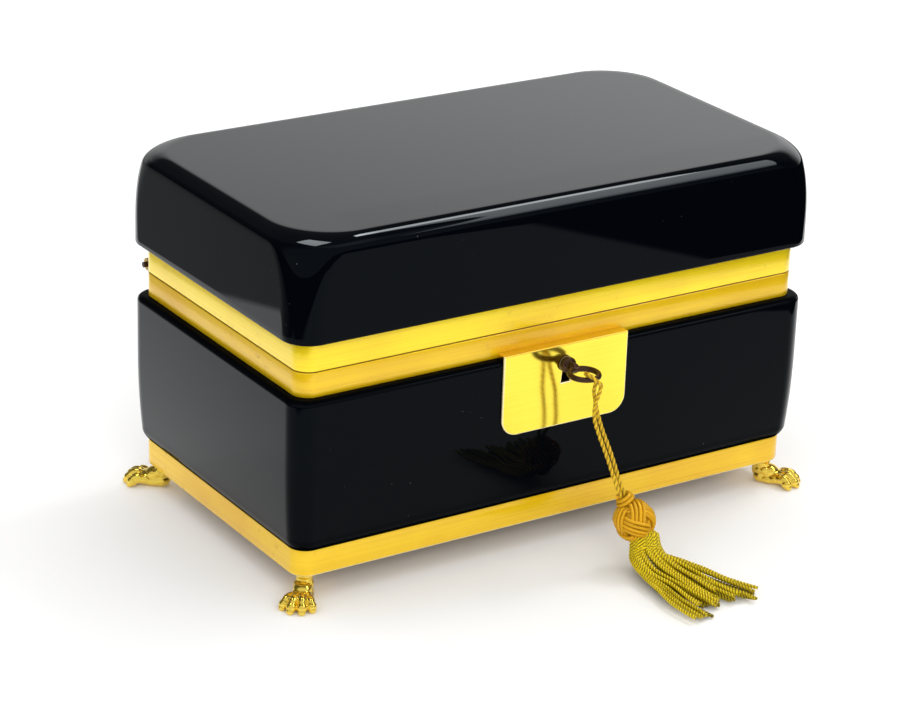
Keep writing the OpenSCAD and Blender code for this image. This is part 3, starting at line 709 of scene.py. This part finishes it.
def foot_band_mesh():
    edge = in_mm(sizes().band_edge)
    seat = 8.0
    wall = 1.2
    # Inset and height over the sole of the lip that is rolled up against the glass
    lip = ((0.0, 0.75), (0.06, 0.88), (0.2, 0.9), (0.66, 0.6), (1.3, 0.3), (2.0, 0.1), (2.95, 0.0))
    profile = arc(edge, Z_FOOT + edge, edge, 270, 180, 3)
    profile += [(inset, Z_SOLE + rise) for inset, rise in lip]
    profile += [(seat, Z_SOLE), (seat, Z_SOLE - wall), (wall, Z_SOLE - wall), (wall, Z_FOOT)]
    parts = [loft("foot_band", band_rings(FOOT_HALF, RIM_R, profile), closed=True)]
    parts += [corner_plate(sx * STUD[0], sy * STUD[1]) for sx in (-1, 1) for sy in (-1, 1)]
    return merged("foot_band", parts)


# Lock plate and key


def plate_outline():
    radius = 5.0
    low = Z_PLATE_LOW + radius
    points = [(PLATE_HALF, Z_PLATE_TOP), (-PLATE_HALF, Z_PLATE_TOP)]
    points += arc(-PLATE_HALF + radius, low, radius, 180, 270, 14)
    points += arc(PLATE_HALF - radius, low, radius, 270, 360, 14)
    return points


def keyhole_outline():
    """Round hole with a slot that widens to its foot."""
    radius = 2.0
    slot = 1.05
    foot = 1.5
    foot_z = KEY_Z - 5.4
    start = degrees(asin(slot / radius))
    points = arc(0.0, KEY_Z, radius, 270 + start, 630 - start, 28)
    return points + [(-foot, foot_z), (foot, foot_z)]


def lock_plate_mesh():
    """Plate with rounded edges, and the shelf that joins it to the band."""
    edge = in_mm(sizes().plate_edge)
    thick = 0.8
    middle_y = -47.7
    curve = bpy.data.curves.new("lock_plate_outline", "CURVE")
    assign(curve, dimensions="2D", fill_mode="BOTH", extrude=thick / 2 - edge)
    assign(curve, bevel_depth=edge, bevel_resolution=2, offset=-edge)
    for outline in (plate_outline(), keyhole_outline()):
        add_spline(curve, [(x, z, 0.0) for x, z in outline], True)
    front = baked(temporary(curve), "lock_plate_front")
    front.transform(Matrix(((1, 0, 0, 0), (0, 0, -1, middle_y), (0, 1, 0, 0), (0, 0, 0, 1))))
    low = (-PLATE_HALF, -47.5, 59.7)
    shelf = box_mesh("lock_plate_shelf", low, (PLATE_HALF, -44.6, Z_PLATE_TOP), 0.12)
    return shade(merged("lock_plate_dressed", [front, shelf]), 12)


def turned(name, profile, steps=40):
    """Lathe work about the key's axis: rows of radius and y."""
    rings = []
    for radius, y in profile:
        rings.append([(radius * cos(turn), y, KEY_Z + radius * sin(turn)) for turn in circle(steps)])
    return loft(name, rings, closed=True)


def bow_mesh():
    """Oval ring of the key's bow, a little thicker where it meets the stem."""
    centre = Vector((0.0, -56.6, KEY_Z))
    semi = (3.9, 4.1)
    bar = 0.85
    taper = 0.06
    steps = 72
    sides = 18
    up = Vector((0, 0, 1))
    rings = []
    for angle in circle(steps):
        c = cos(angle)
        s = sin(angle)
        middle = centre + Vector((semi[0] * c, semi[1] * s, 0.0))
        out = Vector((semi[1] * c, semi[0] * s, 0.0)).normalized()
        thick = bar * (1.0 - taper * (1.0 - s))
        rings.append([middle + thick * (cos(turn) * out + sin(turn) * up) for turn in circle(sides)])
    return loft("key_bow", rings, closed=True)


def key_mesh():
    shaft = 1.5
    bore = 0.72
    bit_half = 0.8
    bit_edge = 0.12
    stem = [
        (bore, -41.0), (bore, -35.1), (shaft - 0.15, -35.1), (shaft, -35.25), (shaft, -48.35),
        (2.05, -48.5), (2.25, -48.65), (2.3, -48.85), (2.3, -49.35), (2.25, -49.55), (2.05, -49.7),
        (1.55, -49.85), (1.3, -50.3), (1.3, -50.9), (1.5, -51.4), (1.45, -52.1), (1.1, -52.7), (0.3, -52.9),
        (0.3, -41.0),
    ]
    parts = [turned("key_stem", stem), bow_mesh()]
    # The bit's two teeth and its root: left end, front and back
    for left, front, back in ((-5.2, -39.95, -38.65), (-5.2, -37.85, -36.55), (-3.6, -38.9, -37.6)):
        low = (left, front, KEY_Z - bit_half)
        parts.append(box_mesh("key_bit", low, (-1.2, back, KEY_Z + bit_half), bit_edge))
    return shade(merged("key_dressed", parts), 35)


# Paws


def paw_mesh():
    """Cast lion's paw with its toes along +X, its stud over the origin and its sole on zero."""
    # Middles and half sizes of the leg, the heel and the back of the paw
    form = (
        ((0.0, 0.0, 7.2), (2.7, 2.6, 1.5)), ((0.0, 0.0, 5.8), (2.4, 2.35, 1.9)),
        ((0.2, 0.0, 4.2), (2.6, 2.5, 1.9)), ((0.1, 0.0, 2.0), (2.4, 2.7, 2.1)),
        ((2.3, 0.0, 3.7), (2.9, 2.7, 2.1)), ((3.0, 0.0, 1.7), (4.6, 3.2, 1.75)),
        ((5.2, 0.0, 2.2), (3.4, 3.7, 2.0)), ((-1.7, 1.0, 5.2), (0.9, 0.8, 1.6)),
        ((-1.7, -1.0, 5.2), (0.9, 0.8, 1.6)), ((-2.0, 0.0, 3.6), (0.8, 0.8, 1.5)),
        ((0.9, 1.9, 4.6), (1.2, 0.9, 1.3)), ((1.2, -1.9, 4.3), (1.3, 0.9, 1.2)),
    )
    toes = ((-1.5, 0.9, 0.92), (-0.5, 1.0, 1.0), (0.5, 0.98, 1.06), (1.5, 0.87, 0.9))
    toe_turn = 19
    toe_root = 1.4
    balls = [(place, size, 0.0) for place, size in form]
    for toe, long, bulge in toes:
        turn = radians(toe_turn * toe)
        for reach, z, size in (
            (6.5 * long, 2.75 * bulge, (2.7, 1.4, 1.75 * bulge)),
            (8.7 * long, 1.65, (1.6, 1.45, 1.6 * bulge)),
            (9.7 * long, 0.9, (0.95, 1.1, 0.95)), (10.15 * long, 0.75, (0.55, 0.36, 0.42)),
        ):
            balls.append(((toe_root + reach * cos(turn), reach * sin(turn), z), size, turn))
    work = bmesh.new()
    for place, size, turn in balls:
        matrix = Matrix.Translation(place) @ Matrix.Rotation(turn, 4, "Z") @ Matrix.Diagonal((*size, 1.0))
        bmesh.ops.create_icosphere(work, subdivisions=4, radius=1.0, matrix=matrix)
    source = temporary(as_mesh("paw_form", work))
    assign(source.modifiers.new("Cast", "REMESH"), mode="VOXEL", voxel_size=0.15)
    assign(source.modifiers.new("Polish", "SMOOTH"), factor=0.5, iterations=9)
    result = baked(source, "paw_cast")
    for vertex in result.vertices:
        vertex.co.z = min(max(vertex.co.z, 0.0), Z_FOOT)
    return smooth(result)


# Tassel


def between(a, b, c, d, t):
    """Catmull-Rom value from b to c."""
    square = 2 * a - 5 * b + 4 * c - d
    cube = 3 * b - a - 3 * c + d
    return 0.5 * (2 * b + (c - a) * t + square * t * t + cube * t ** 3)


def neighbours(row, i):
    return [row[min(max(i + k, 0), len(row) - 1)] for k in (-1, 0, 1, 2)]


def smooth_route(points, steps):
    """Smooth line through the points."""
    row = [Vector(point) for point in points]
    line = []
    for i in range(len(row) - 1):
        line += [between(*neighbours(row, i), step / steps) for step in range(steps)]
    return line + [row[-1]]


def twisted_cord_tree():
    """Geometry Nodes: a line becomes a cord of twisted plies."""
    points_per_ply = 7
    # Gain of the groove depth that is stored for the silk's painted shade
    painted_shade_gain = 4.0
    tree = bpy.data.node_groups.new("Twisted cord", "GeometryNodeTree")
    declare(tree, "INPUT", "Geometry", ("Line",))
    declare(tree, "INPUT", "Float", ("Width", "Pitch", "Groove", "Step"))
    declare(tree, "INPUT", "Int", ("Plies", "Seed"))
    declare(tree, "INPUT", "Material", ("Material",))
    declare(tree, "OUTPUT", "Geometry", ("Cord",))
    given = add(tree, "NodeGroupInput").outputs

    def step(kind, inputs, **settings):
        return add(tree, kind, inputs, **settings).outputs[0]

    def store(geometry, name, value, domain):
        inputs = {"Geometry": geometry, "Name": name, "Value": value}
        return step("GeometryNodeStoreNamedAttribute", inputs, data_type="FLOAT", domain=domain)

    line = step("GeometryNodeResampleCurve", {"Curve": given["Line"], "Length": given["Step"]}, mode="LENGTH")
    measure = add(tree, "GeometryNodeSplineParameter").outputs["Length"]
    turns = maths("DIVIDE", measure, given["Pitch"])
    line = step("GeometryNodeSetCurveTilt", {"Curve": line, "Tilt": times(turns, 2 * pi)})
    chance = add(tree, "FunctionNodeRandomValue", {"Seed": given["Seed"]}, data_type="FLOAT").outputs[1]
    line = store(line, "shade", chance, "CURVE")

    radius = times(given["Width"], 0.5)
    sides = times(given["Plies"], points_per_ply)
    inputs = {"Resolution": sides, "Radius": radius}
    profile = step("GeometryNodeCurvePrimitiveCircle", inputs, mode="RADIUS")
    spot = add(tree, "GeometryNodeInputPosition").outputs[0]
    parts = split(spot)
    angle = maths("ARCTAN2", parts["Y"], parts["X"])
    wave = maths("COSINE", times(angle, given["Plies"]))
    dip = times(maths("SUBTRACT", 1.0, wave), 0.5)
    factor = maths("SUBTRACT", 1.0, times(dip, given["Groove"]))
    scaled = step("ShaderNodeVectorMath", {0: spot, "Scale": factor}, operation="SCALE")
    profile = step("GeometryNodeSetPosition", {"Geometry": profile, "Position": scaled})
    # Stores how deep each profile point lies in a groove, for the silk's painted shade
    profile = store(profile, "painted_groove_shade", times(dip, times(given["Groove"], painted_shade_gain)), "POINT")

    cord = step("GeometryNodeCurveToMesh", {"Curve": line, "Profile Curve": profile, "Fill Caps": True})
    cord = step("GeometryNodeSetShadeSmooth", {"Geometry": cord})
    cord = step("GeometryNodeRealizeInstances", {"Geometry": cord})
    cord = step("GeometryNodeSetMaterial", {"Geometry": cord, "Material": given["Material"]})
    add(tree, "NodeGroupOutput", {"Cord": cord})
    return tree


def cord_mesh(name, lines, closed, finish, **values):
    """Sweeps the twisted cord tree along lines given in metres."""
    tree = bpy.data.node_groups.get("Twisted cord") or twisted_cord_tree()
    curve = assign(bpy.data.curves.new(name + "_line", "CURVE"), dimensions="3D")
    for line in lines:
        add_spline(curve, line, closed)
    source = temporary(curve)
    modifier = assign(source.modifiers.new("Twist", "NODES"), node_group=tree)
    values["Material"] = FINISH[finish]
    for socket in tree.interface.items_tree:
        if socket.in_out == "INPUT" and socket.name in values:
            modifier[socket.identifier] = values[socket.name]
    return baked(source, name)


def knot_lines():
    """Three-lead ball knot of four parallel passes, as closed lines in metres."""
    leads = 3
    bights = 4
    passes = 4
    steps = 360
    swing = radians(60)
    width = in_mm(sizes().knot_pass)
    pitch = width * 1.04
    middle = KNOT_R - 1.5 * width * 0.72 - 0.3
    lift = 0.47 * width
    facing = Matrix(KNOT_TURN)

    def on_ball(angle):
        swing_at = bights * angle / leads
        latitude = swing * sin(swing_at)
        level = cos(latitude)
        place = Vector((level * cos(angle), level * sin(angle), sin(latitude)))
        return place, sin(2 * swing_at)

    lines = []
    for number in range(passes):
        off = (number - (passes - 1) / 2) * pitch
        line = []
        for turn in circle(steps):
            angle = leads * turn
            here, high = on_ball(angle)
            ahead = on_ball(angle + 0.01)[0]
            across = here.cross(ahead - here).normalized()
            spot = (here * middle + across * off).normalized() * (middle + lift * high)
            line.append((Vector(KNOT_AT) + facing @ spot) * MM)
        lines.append(line)
    return lines


def ball_mesh(name, centre, radius):
    work = bmesh.new()
    bmesh.ops.create_icosphere(work, subdivisions=4, radius=radius, matrix=Matrix.Translation(centre))
    return smooth(as_mesh(name, work))


def whipping_lines():
    """Turns of cord that bind the two strands above the ball."""
    turns = 2.3
    steps = 120
    wide = 2.5
    narrowing = 0.9
    start = 4.7
    climb = 2.4
    way = Vector(CORD_WAY).normalized()
    side = way.orthogonal().normalized()
    other = way.cross(side)
    line = []
    for step in range(steps):
        t = step / (steps - 1)
        angle = 2 * pi * turns * t
        out = cos(angle) * side + sin(angle) * other
        line.append((Vector(NECK_AT) + way * (start + climb * t) + (wide - narrowing * t) * out) * MM)
    return [line]


def fringe_row(place):
    """Fringe row at a place from 0 at the ball to 1 at the tips."""
    last = len(FRINGE_ROWS) - 1
    at = min(max(place, 0.0), 1.0) * last
    i = min(int(at), last - 1)
    return [between(*values, at - i) for values in zip(*neighbours(FRINGE_ROWS, i))]


def fringe_lines(count, depth, spread, lift, seed):
    """Strands round the fringe's rows, from the ball to scattered tips, in metres."""
    draw = random.Random(seed)
    half = in_mm(sizes().fringe_width) / 2
    steps = 45
    # Sideways shift and shortening of each clump of strands
    clumps = ((1.5, -0.02), (0.2, 0.02), (-0.9, 0.08), (0.7, 0.05), (-0.6, 0.06), (0.5, 0.0))
    ball = Vector(KNOT_AT) * MM
    lines = []
    for strand in range(count):
        share = (strand + 0.5) / count
        angle = radians(90 + spread * (share - 0.5))
        shift, short = clumps[int(share * len(clumps))]
        stop = 1.0 - short - 0.05 * draw.random()
        sway = draw.uniform(0.35, 1.0)
        phase = draw.uniform(0, 2 * pi)
        turns = draw.uniform(4.0, 10.0)
        rise = draw.uniform(-0.5, 0.4)
        layer = lift * draw.uniform(0.1, 1.0)
        root = draw.uniform(0.45, 0.75)
        line = []
        for step in range(steps + 1):
            place = stop * step / steps
            x, y, z, width, thick = fringe_row(place)
            ahead = Vector(fringe_row(place + 0.01)[:3]) - Vector(fringe_row(place - 0.01)[:3])
            way = ahead.normalized()
            side = (Vector((1, 0, 0)) - way.x * way).normalized()
            up = way.cross(side)
            loose = place ** 1.2
            flat = min(max((place - 0.15) / 0.55, 0.0), 1.0)
            flat = flat * flat * (3 - 2 * flat)
            out_at = cos(angle) + flat * (0.97 * (1 - 2 * share) - cos(angle))
            up_at = sin(angle) + flat * (layer - sin(angle))
            drift = shift + sway * sin(turns * place + phase)
            across = (width - half) * depth * out_at + loose * drift
            above = (thick - half) * depth * up_at + loose * rise
            spot = Vector((x, y, z)) + across * side + above * up
            spot.z = max(spot.z, half + 0.06)
            line.append(spot * MM)
        lines.append([ball + (line[0] - ball) * root] + line)
    return lines


# Stage


def photo_camera():
    """Camera at the photo's viewing angle, for an image of 900 by 721."""
    right = (0.84152373, -0.53931579, 0.0312457)
    up = (0.18157596, 0.33684885, 0.92388475)
    back = (-0.50879071, -0.77179747, 0.38139308)
    place = [value * MM for value in (-448.25, -670.19, 371.2)]
    camera = placed("Photo camera", bpy.data.cameras.new("Photo camera"))
    assign(camera.data, sensor_fit="HORIZONTAL", sensor_width=36.0, lens=121.27, clip_start=0.01)
    camera.matrix_world = Matrix.Translation(place) @ Matrix((right, up, back)).transposed().to_4x4()
    bpy.context.scene.camera = camera


def studio_world():
    """White to the camera; for mirrors bright low behind and in front, dark above and to the sides."""
    world = assign(bpy.data.worlds.new("Studio"), use_nodes=True)
    bpy.context.scene.world = world
    tree = world.node_tree
    way = add(tree, "ShaderNodeTexCoord").outputs["Generated"]
    high = split(way)["Z"]
    behind = along(way, (0.55, 0.835, 0.0))
    beside = along(way, (0.8415, -0.539, 0.0))
    back = times(ramp(behind, 0.5, 0.8), ramp(high, 0.38, 0.5, 1.0, 0.0))
    slope = plus(ramp(beside, -0.4, 0.2, 0.40, 1.12), ramp(high, 0.26, 0.36, 0.12, -0.1))
    front = ramp(behind, -0.1, -0.45, 0.0, 0.75)
    mirror = largest(largest(times(back, slope), front), 0.06)
    light = add(tree, "ShaderNodeLightPath").outputs
    lit = mix_value(light["Is Glossy Ray"], 1.05, mirror)
    seen = largest(light["Is Camera Ray"], light["Is Transmission Ray"])
    strength = mix_value(seen, lit, 1.0)
    feed(tree.nodes["Background"], {"Color": (1.0, 1.0, 1.0, 1.0), "Strength": strength})


def floor_material():
    """Pale table; mirrors see it white only on a paper-shaped area with straight edges, and painted dark
    beyond them.
    """
    unlit = (0.004, 0.004, 0.004)
    material, shader, place = finish_material("Pale table")
    tree = material.node_tree
    tree.nodes.remove(shader)
    right = ramp(along(place, (0.869, -0.495, 0.0)), 0.257, 0.261, 1.0, 0.0)
    left = ramp(along(place, (0.906, -0.423, 0.0)), -0.238, -0.232)
    near = ramp(along(place, (0.915, 0.404, 0.0)), -0.285, -0.265)
    beyond = ramp(along(place, (0.0, 1.0, 0.0)), 0.0, 0.04, 0.02, 0.24)
    mirror_white_area = times(times(right, near), largest(left, beyond))
    glossy = add(tree, "ShaderNodeLightPath").outputs["Is Glossy Ray"]
    # Painted darkness for mirrors: glossy rays see the unlit colour outside the white area
    painted_dark_mask = times(glossy, maths("SUBTRACT", 1.0, mirror_white_area))
    white = add(tree, "ShaderNodeBsdfDiffuse", {"Color": mix_colour(painted_dark_mask, colours().floor, unlit)})
    feed(tree.nodes["Material Output"], {"Surface": white.outputs[0]})
    return material


def soft_lamp(name, place, target, size, power):
    lamp = placed(name, bpy.data.lights.new(name, "AREA"))
    assign(lamp.data, shape="RECTANGLE", size=size[0], size_y=size[1], energy=power)
    lamp.location = place
    lamp.rotation_euler = (Vector(target) - Vector(place)).to_track_quat("-Z", "Y").to_euler()
    return lamp


def studio_lamps():
    """Key and fill lamps, and two lights that only mirrors see."""
    middle = (0.0, 0.0, 0.05)
    soft_lamp("Key lamp", (0.5, 0.05, 0.95), middle, (0.24, 0.24), 1.6)
    fill = soft_lamp("Front fill", (-0.6, -1.6, 0.9), middle, (1.2, 0.8), 10.0)
    fill.visible_glossy = False
    window = soft_lamp("Window", (0.79, -0.5, 1.07), (0.06, -0.048, 0.1), (0.28, 1.5), 6.0)
    window.visible_diffuse = False
    toward = Vector((0.565, -0.35, 0.75)).normalized()
    upright = Vector((0.0, 0.84, 0.545))
    upright = (upright - upright.dot(toward) * toward).normalized()
    window.rotation_euler = Matrix((upright.cross(toward), upright, toward)).transposed().to_euler()
    skylight = soft_lamp("Skylight", (-0.12, 0.16, 1.35), (-0.07, -0.04, 0.102), (0.42, 0.5), 3.5)
    skylight.visible_diffuse = False


def weld_tree():
    """Geometry Nodes: welds a frame node's facets and shades them smooth up to an angle."""
    weld_distance = 0.000002
    sharp_from = radians(30)
    tree = bpy.data.node_groups.new("Weld and smooth", "GeometryNodeTree")
    declare(tree, "INPUT", "Geometry", ("Part",))
    declare(tree, "OUTPUT", "Geometry", ("Part",))
    part = add(tree, "NodeGroupInput").outputs[0]
    inputs = {"Geometry": part, "Distance": weld_distance}
    part = add(tree, "GeometryNodeMergeByDistance", inputs).outputs[0]
    part = add(tree, "GeometryNodeSetShadeSmooth", {"Geometry": part}, domain="FACE").outputs[0]
    angle = add(tree, "GeometryNodeInputMeshEdgeAngle").outputs["Unsigned Angle"]
    sharp = maths("GREATER_THAN", angle, sharp_from)
    inputs = {"Geometry": part, "Selection": sharp, "Shade Smooth": False}
    part = add(tree, "GeometryNodeSetShadeSmooth", inputs, domain="EDGE").outputs[0]
    add(tree, "NodeGroupOutput", {0: part})
    return tree


# Operators


class CASKET_OT_stage(bpy.types.Operator):
    """Camera, lamps, world, table and the finishes"""

    bl_idname = "casket.stage"
    bl_label = "Stage"

    def execute(self, context):
        context.scene.view_settings.view_transform = "Standard"
        photo_camera()
        studio_world()
        make_finishes()
        reach = 4.0
        corners = [(-reach, -reach, 0), (reach, -reach, 0), (reach, reach, 0), (-reach, reach, 0)]
        mesh = bpy.data.meshes.new("Table")
        mesh.from_pydata(corners, [], [(0, 1, 2, 3)])
        mesh.materials.append(floor_material())
        table = placed("Table", mesh)
        studio_lamps()
        return {"FINISHED"}


class CASKET_OT_tassel(bpy.types.Operator):
    """Cord through the key's bow, ball knot and fringe"""

    bl_idname = "casket.tassel"
    bl_label = "Cord and tassel"

    def execute(self, context):
        size = sizes()
        route = [point * MM for point in smooth_route(CORD_ROUTE, 8)]
        line = cord_mesh(
            "tassel_cord_line", [route], False, "cord", Width=size.cord_width, Pitch=size.cord_pitch,
            Plies=2, Groove=0.22, Step=0.00022, Seed=3,
        )
        cord = finished("tassel_cord_line", line, "cord", "base", ("tassel_cord",), 1.0)

        core = ball_mesh("knot_core", KNOT_AT, KNOT_R - 1.95)
        core.transform(Matrix.Scale(MM, 4))
        twist = {"Pitch": 0.0024, "Plies": 3, "Groove": 0.04, "Step": 0.0003}
        passes = cord_mesh("knot_passes", knot_lines(), True, "knot", Width=size.knot_pass, Seed=5, **twist)
        binding = cord_mesh("whipping", whipping_lines(), False, "knot", Width=0.00115, Seed=6, **twist)
        ball = merged("tassel_knot_ball", [passes, core, binding])
        knot = finished("tassel_knot_ball", ball, "knot", "base", ("tassel_knot",), 1.0)

        twist = {"Plies": 2, "Groove": 0.28, "Step": 0.00015}
        twist.update(Width=size.fringe_width, Pitch=size.fringe_pitch)
        # Layer, finish, seed of its shades, nodes, and depth, spread, lift and seed of its strands
        for name, finish, seed, nodes, values in (
            ("tassel_fringe_upper", "fringe", 7, ("tassel_skirt",), (1.0, 215, 1.0, 11)),
            # The under layer takes the darker copy of the fringe silk, painted shade
            ("tassel_fringe_under", "under", 8, (), (0.85, 300, -0.8, 12)),
        ):
            lines = fringe_lines(size.fringe_count, *values)
            mesh = cord_mesh(name, lines, False, finish, Seed=seed, **twist)
            finished(name, mesh, finish, "base", nodes, 1.0)
        return {"FINISHED"}


class CASKET_OT_glass(bpy.types.Operator):
    """Black glass body and lid"""

    bl_idname = "casket.glass"
    bl_label = "Glass"

    def execute(self, context):
        body = shade(base_glass_mesh(), 32)
        finished("base_glass_cut", body, "glass", "base", ("base_glass",))
        lid = shade(lid_glass_mesh(), 32)
        finished("lid_glass_cut", lid, "glass", "lid", ("lid_glass",))
        return {"FINISHED"}


class CASKET_OT_bands(bpy.types.Operator):
    """Gilt bands of the base, the lid and the feet"""

    bl_idname = "casket.bands"
    bl_label = "Bands"

    def execute(self, context):
        base = [rim_band("base_band", Z_LEDGE, Z_BASE_RIM, Z_BASE_RIM - BAND_T, Z_BASE_RIM)]
        base += tongue(14.5, 1.5, -35.15, Z_BASE_RIM - BAND_T)
        mesh = shade(merged("base_band", base), 35)
        band = finished("base_band", mesh, "satin", "base", ("base_rim_frame",))
        repaint(band, "brass", lambda middle, normal: normal.z > 0.9 and middle.z > 0.0665)
        lid = [rim_band("lid_band", Z_LID_RIM, Z_LID_GLASS, Z_LID_RIM, Z_LID_RIM + BAND_T)]
        lid += tongue(5.0, 1.0, -35.65, Z_LID_RIM)
        mesh = shade(merged("lid_band", lid), 35)
        band = finished("lid_band", mesh, "gilt", "lid", ("lid_rim_frame",))
        repaint(band, "brass", lambda middle, normal: normal.z < -0.9 and middle.z < 0.0671)
        mesh = shade(foot_band_mesh(), 35)
        band = finished("foot_band", mesh, "satin", "base", ("foot_frame",))
        # Painted highlight: the foot band's lower front rounding takes the pale edge finish
        repaint(band, "edge", lambda middle, normal: -0.98 < normal.z < -0.2 and normal.y < -0.1)
        return {"FINISHED"}


class CASKET_OT_paws(bpy.types.Operator):
    """Four cast lion's paws"""

    bl_idname = "casket.paws"
    bl_label = "Paws"

    def execute(self, context):
        form = paw_mesh()
        for name, side, front in (
            ("front_left", -1, -1), ("front_right", 1, -1), ("back_left", -1, 1), ("back_right", 1, 1)
        ):
            turn = radians(front * (PAW_TURN if side > 0 else 180 - PAW_TURN))
            place = Matrix.Translation((side * STUD[0], front * STUD[1], 0))
            mesh = form.copy()
            mesh.transform(place @ Matrix.Rotation(turn, 4, "Z"))
            finished("paw_" + name, mesh, "cast", "base", ("paw_foot_" + name,))
        bpy.data.meshes.remove(form)
        return {"FINISHED"}


class CASKET_OT_lock(bpy.types.Operator):
    """Lock plate and key"""

    bl_idname = "casket.lock"
    bl_label = "Lock plate and key"

    def execute(self, context):
        mesh = lock_plate_mesh()
        plate = finished("lock_plate_dressed", mesh, "plate", "base", ("lock_plate",))
        # Painted highlight: the plate's sides and lower rim take the pale edge finish
        repaint(plate, "edge", lambda middle, normal: -0.97 < normal.y < 0.5 and middle.z < 0.0595)
        repaint(plate, "satin", lambda middle, normal: normal.z > 0.3 and middle.z > 0.0608)
        finished("key_dressed", key_mesh(), "steel", "key", ("key",))
        return {"FINISHED"}


class CASKET_OT_fittings(bpy.types.Operator):
    """Finishes on the hinge, rivets, nuts, staple and the lock's inside"""

    bl_idname = "casket.fittings"
    bl_label = "Hinge and lock fittings"

    def execute(self, context):
        tree = weld_tree()
        plain = (
            "foot_nuts", "base_hinge_leaf", "base_hinge_rivets", "lid_hinge_leaf", "lid_hinge_rivets",
            "lock_case", "lock_cover", "lid_staple", "staple_rivets",
        )
        dark = ("hinge_pin", "lock_screws", "drill_pin", "bolt_spring", "lock_bolt")
        for name in plain + dark:
            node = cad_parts[name]
            node.data.materials.clear()
            node.data.materials.append(FINISH["brass" if name in plain else "steel"])
            node.modifiers.new("Weld and smooth", "NODES").node_group = tree
        return {"FINISHED"}


class CASKET_PT_pieces(bpy.types.Panel):
    """The casket's pieces in the 3D view's sidebar"""

    bl_idname = "CASKET_PT_pieces"
    bl_label = "Glass casket"
    bl_space_type = "VIEW_3D"
    bl_region_type = "UI"
    bl_category = "Casket"

    def draw(self, context):
        for name in ORDER:
            self.layout.operator("casket." + name)
        for group in (sizes(), colours()):
            for name in group.__annotations__:
                self.layout.prop(group, name)


ORDER = ("stage", "tassel", "glass", "bands", "paws", "lock", "fittings")
CLASSES = (
    CasketSizes, CasketColours, CASKET_OT_stage, CASKET_OT_tassel, CASKET_OT_glass, CASKET_OT_bands,
    CASKET_OT_paws, CASKET_OT_lock, CASKET_OT_fittings, CASKET_PT_pieces,
)


def register():
    for one in CLASSES:
        bpy.utils.register_class(one)
    bpy.types.Scene.casket_sizes = bpy.props.PointerProperty(type=CasketSizes)
    bpy.types.Scene.casket_colours = bpy.props.PointerProperty(type=CasketColours)


def unregister():
    del bpy.types.Scene.casket_colours
    del bpy.types.Scene.casket_sizes
    for one in reversed(CLASSES):
        bpy.utils.unregister_class(one)


def main():
    register()
    for name in ORDER:
        getattr(bpy.ops.casket, name)()
    bpy.context.view_layer.update()


if __name__ == "__main__":
    main()
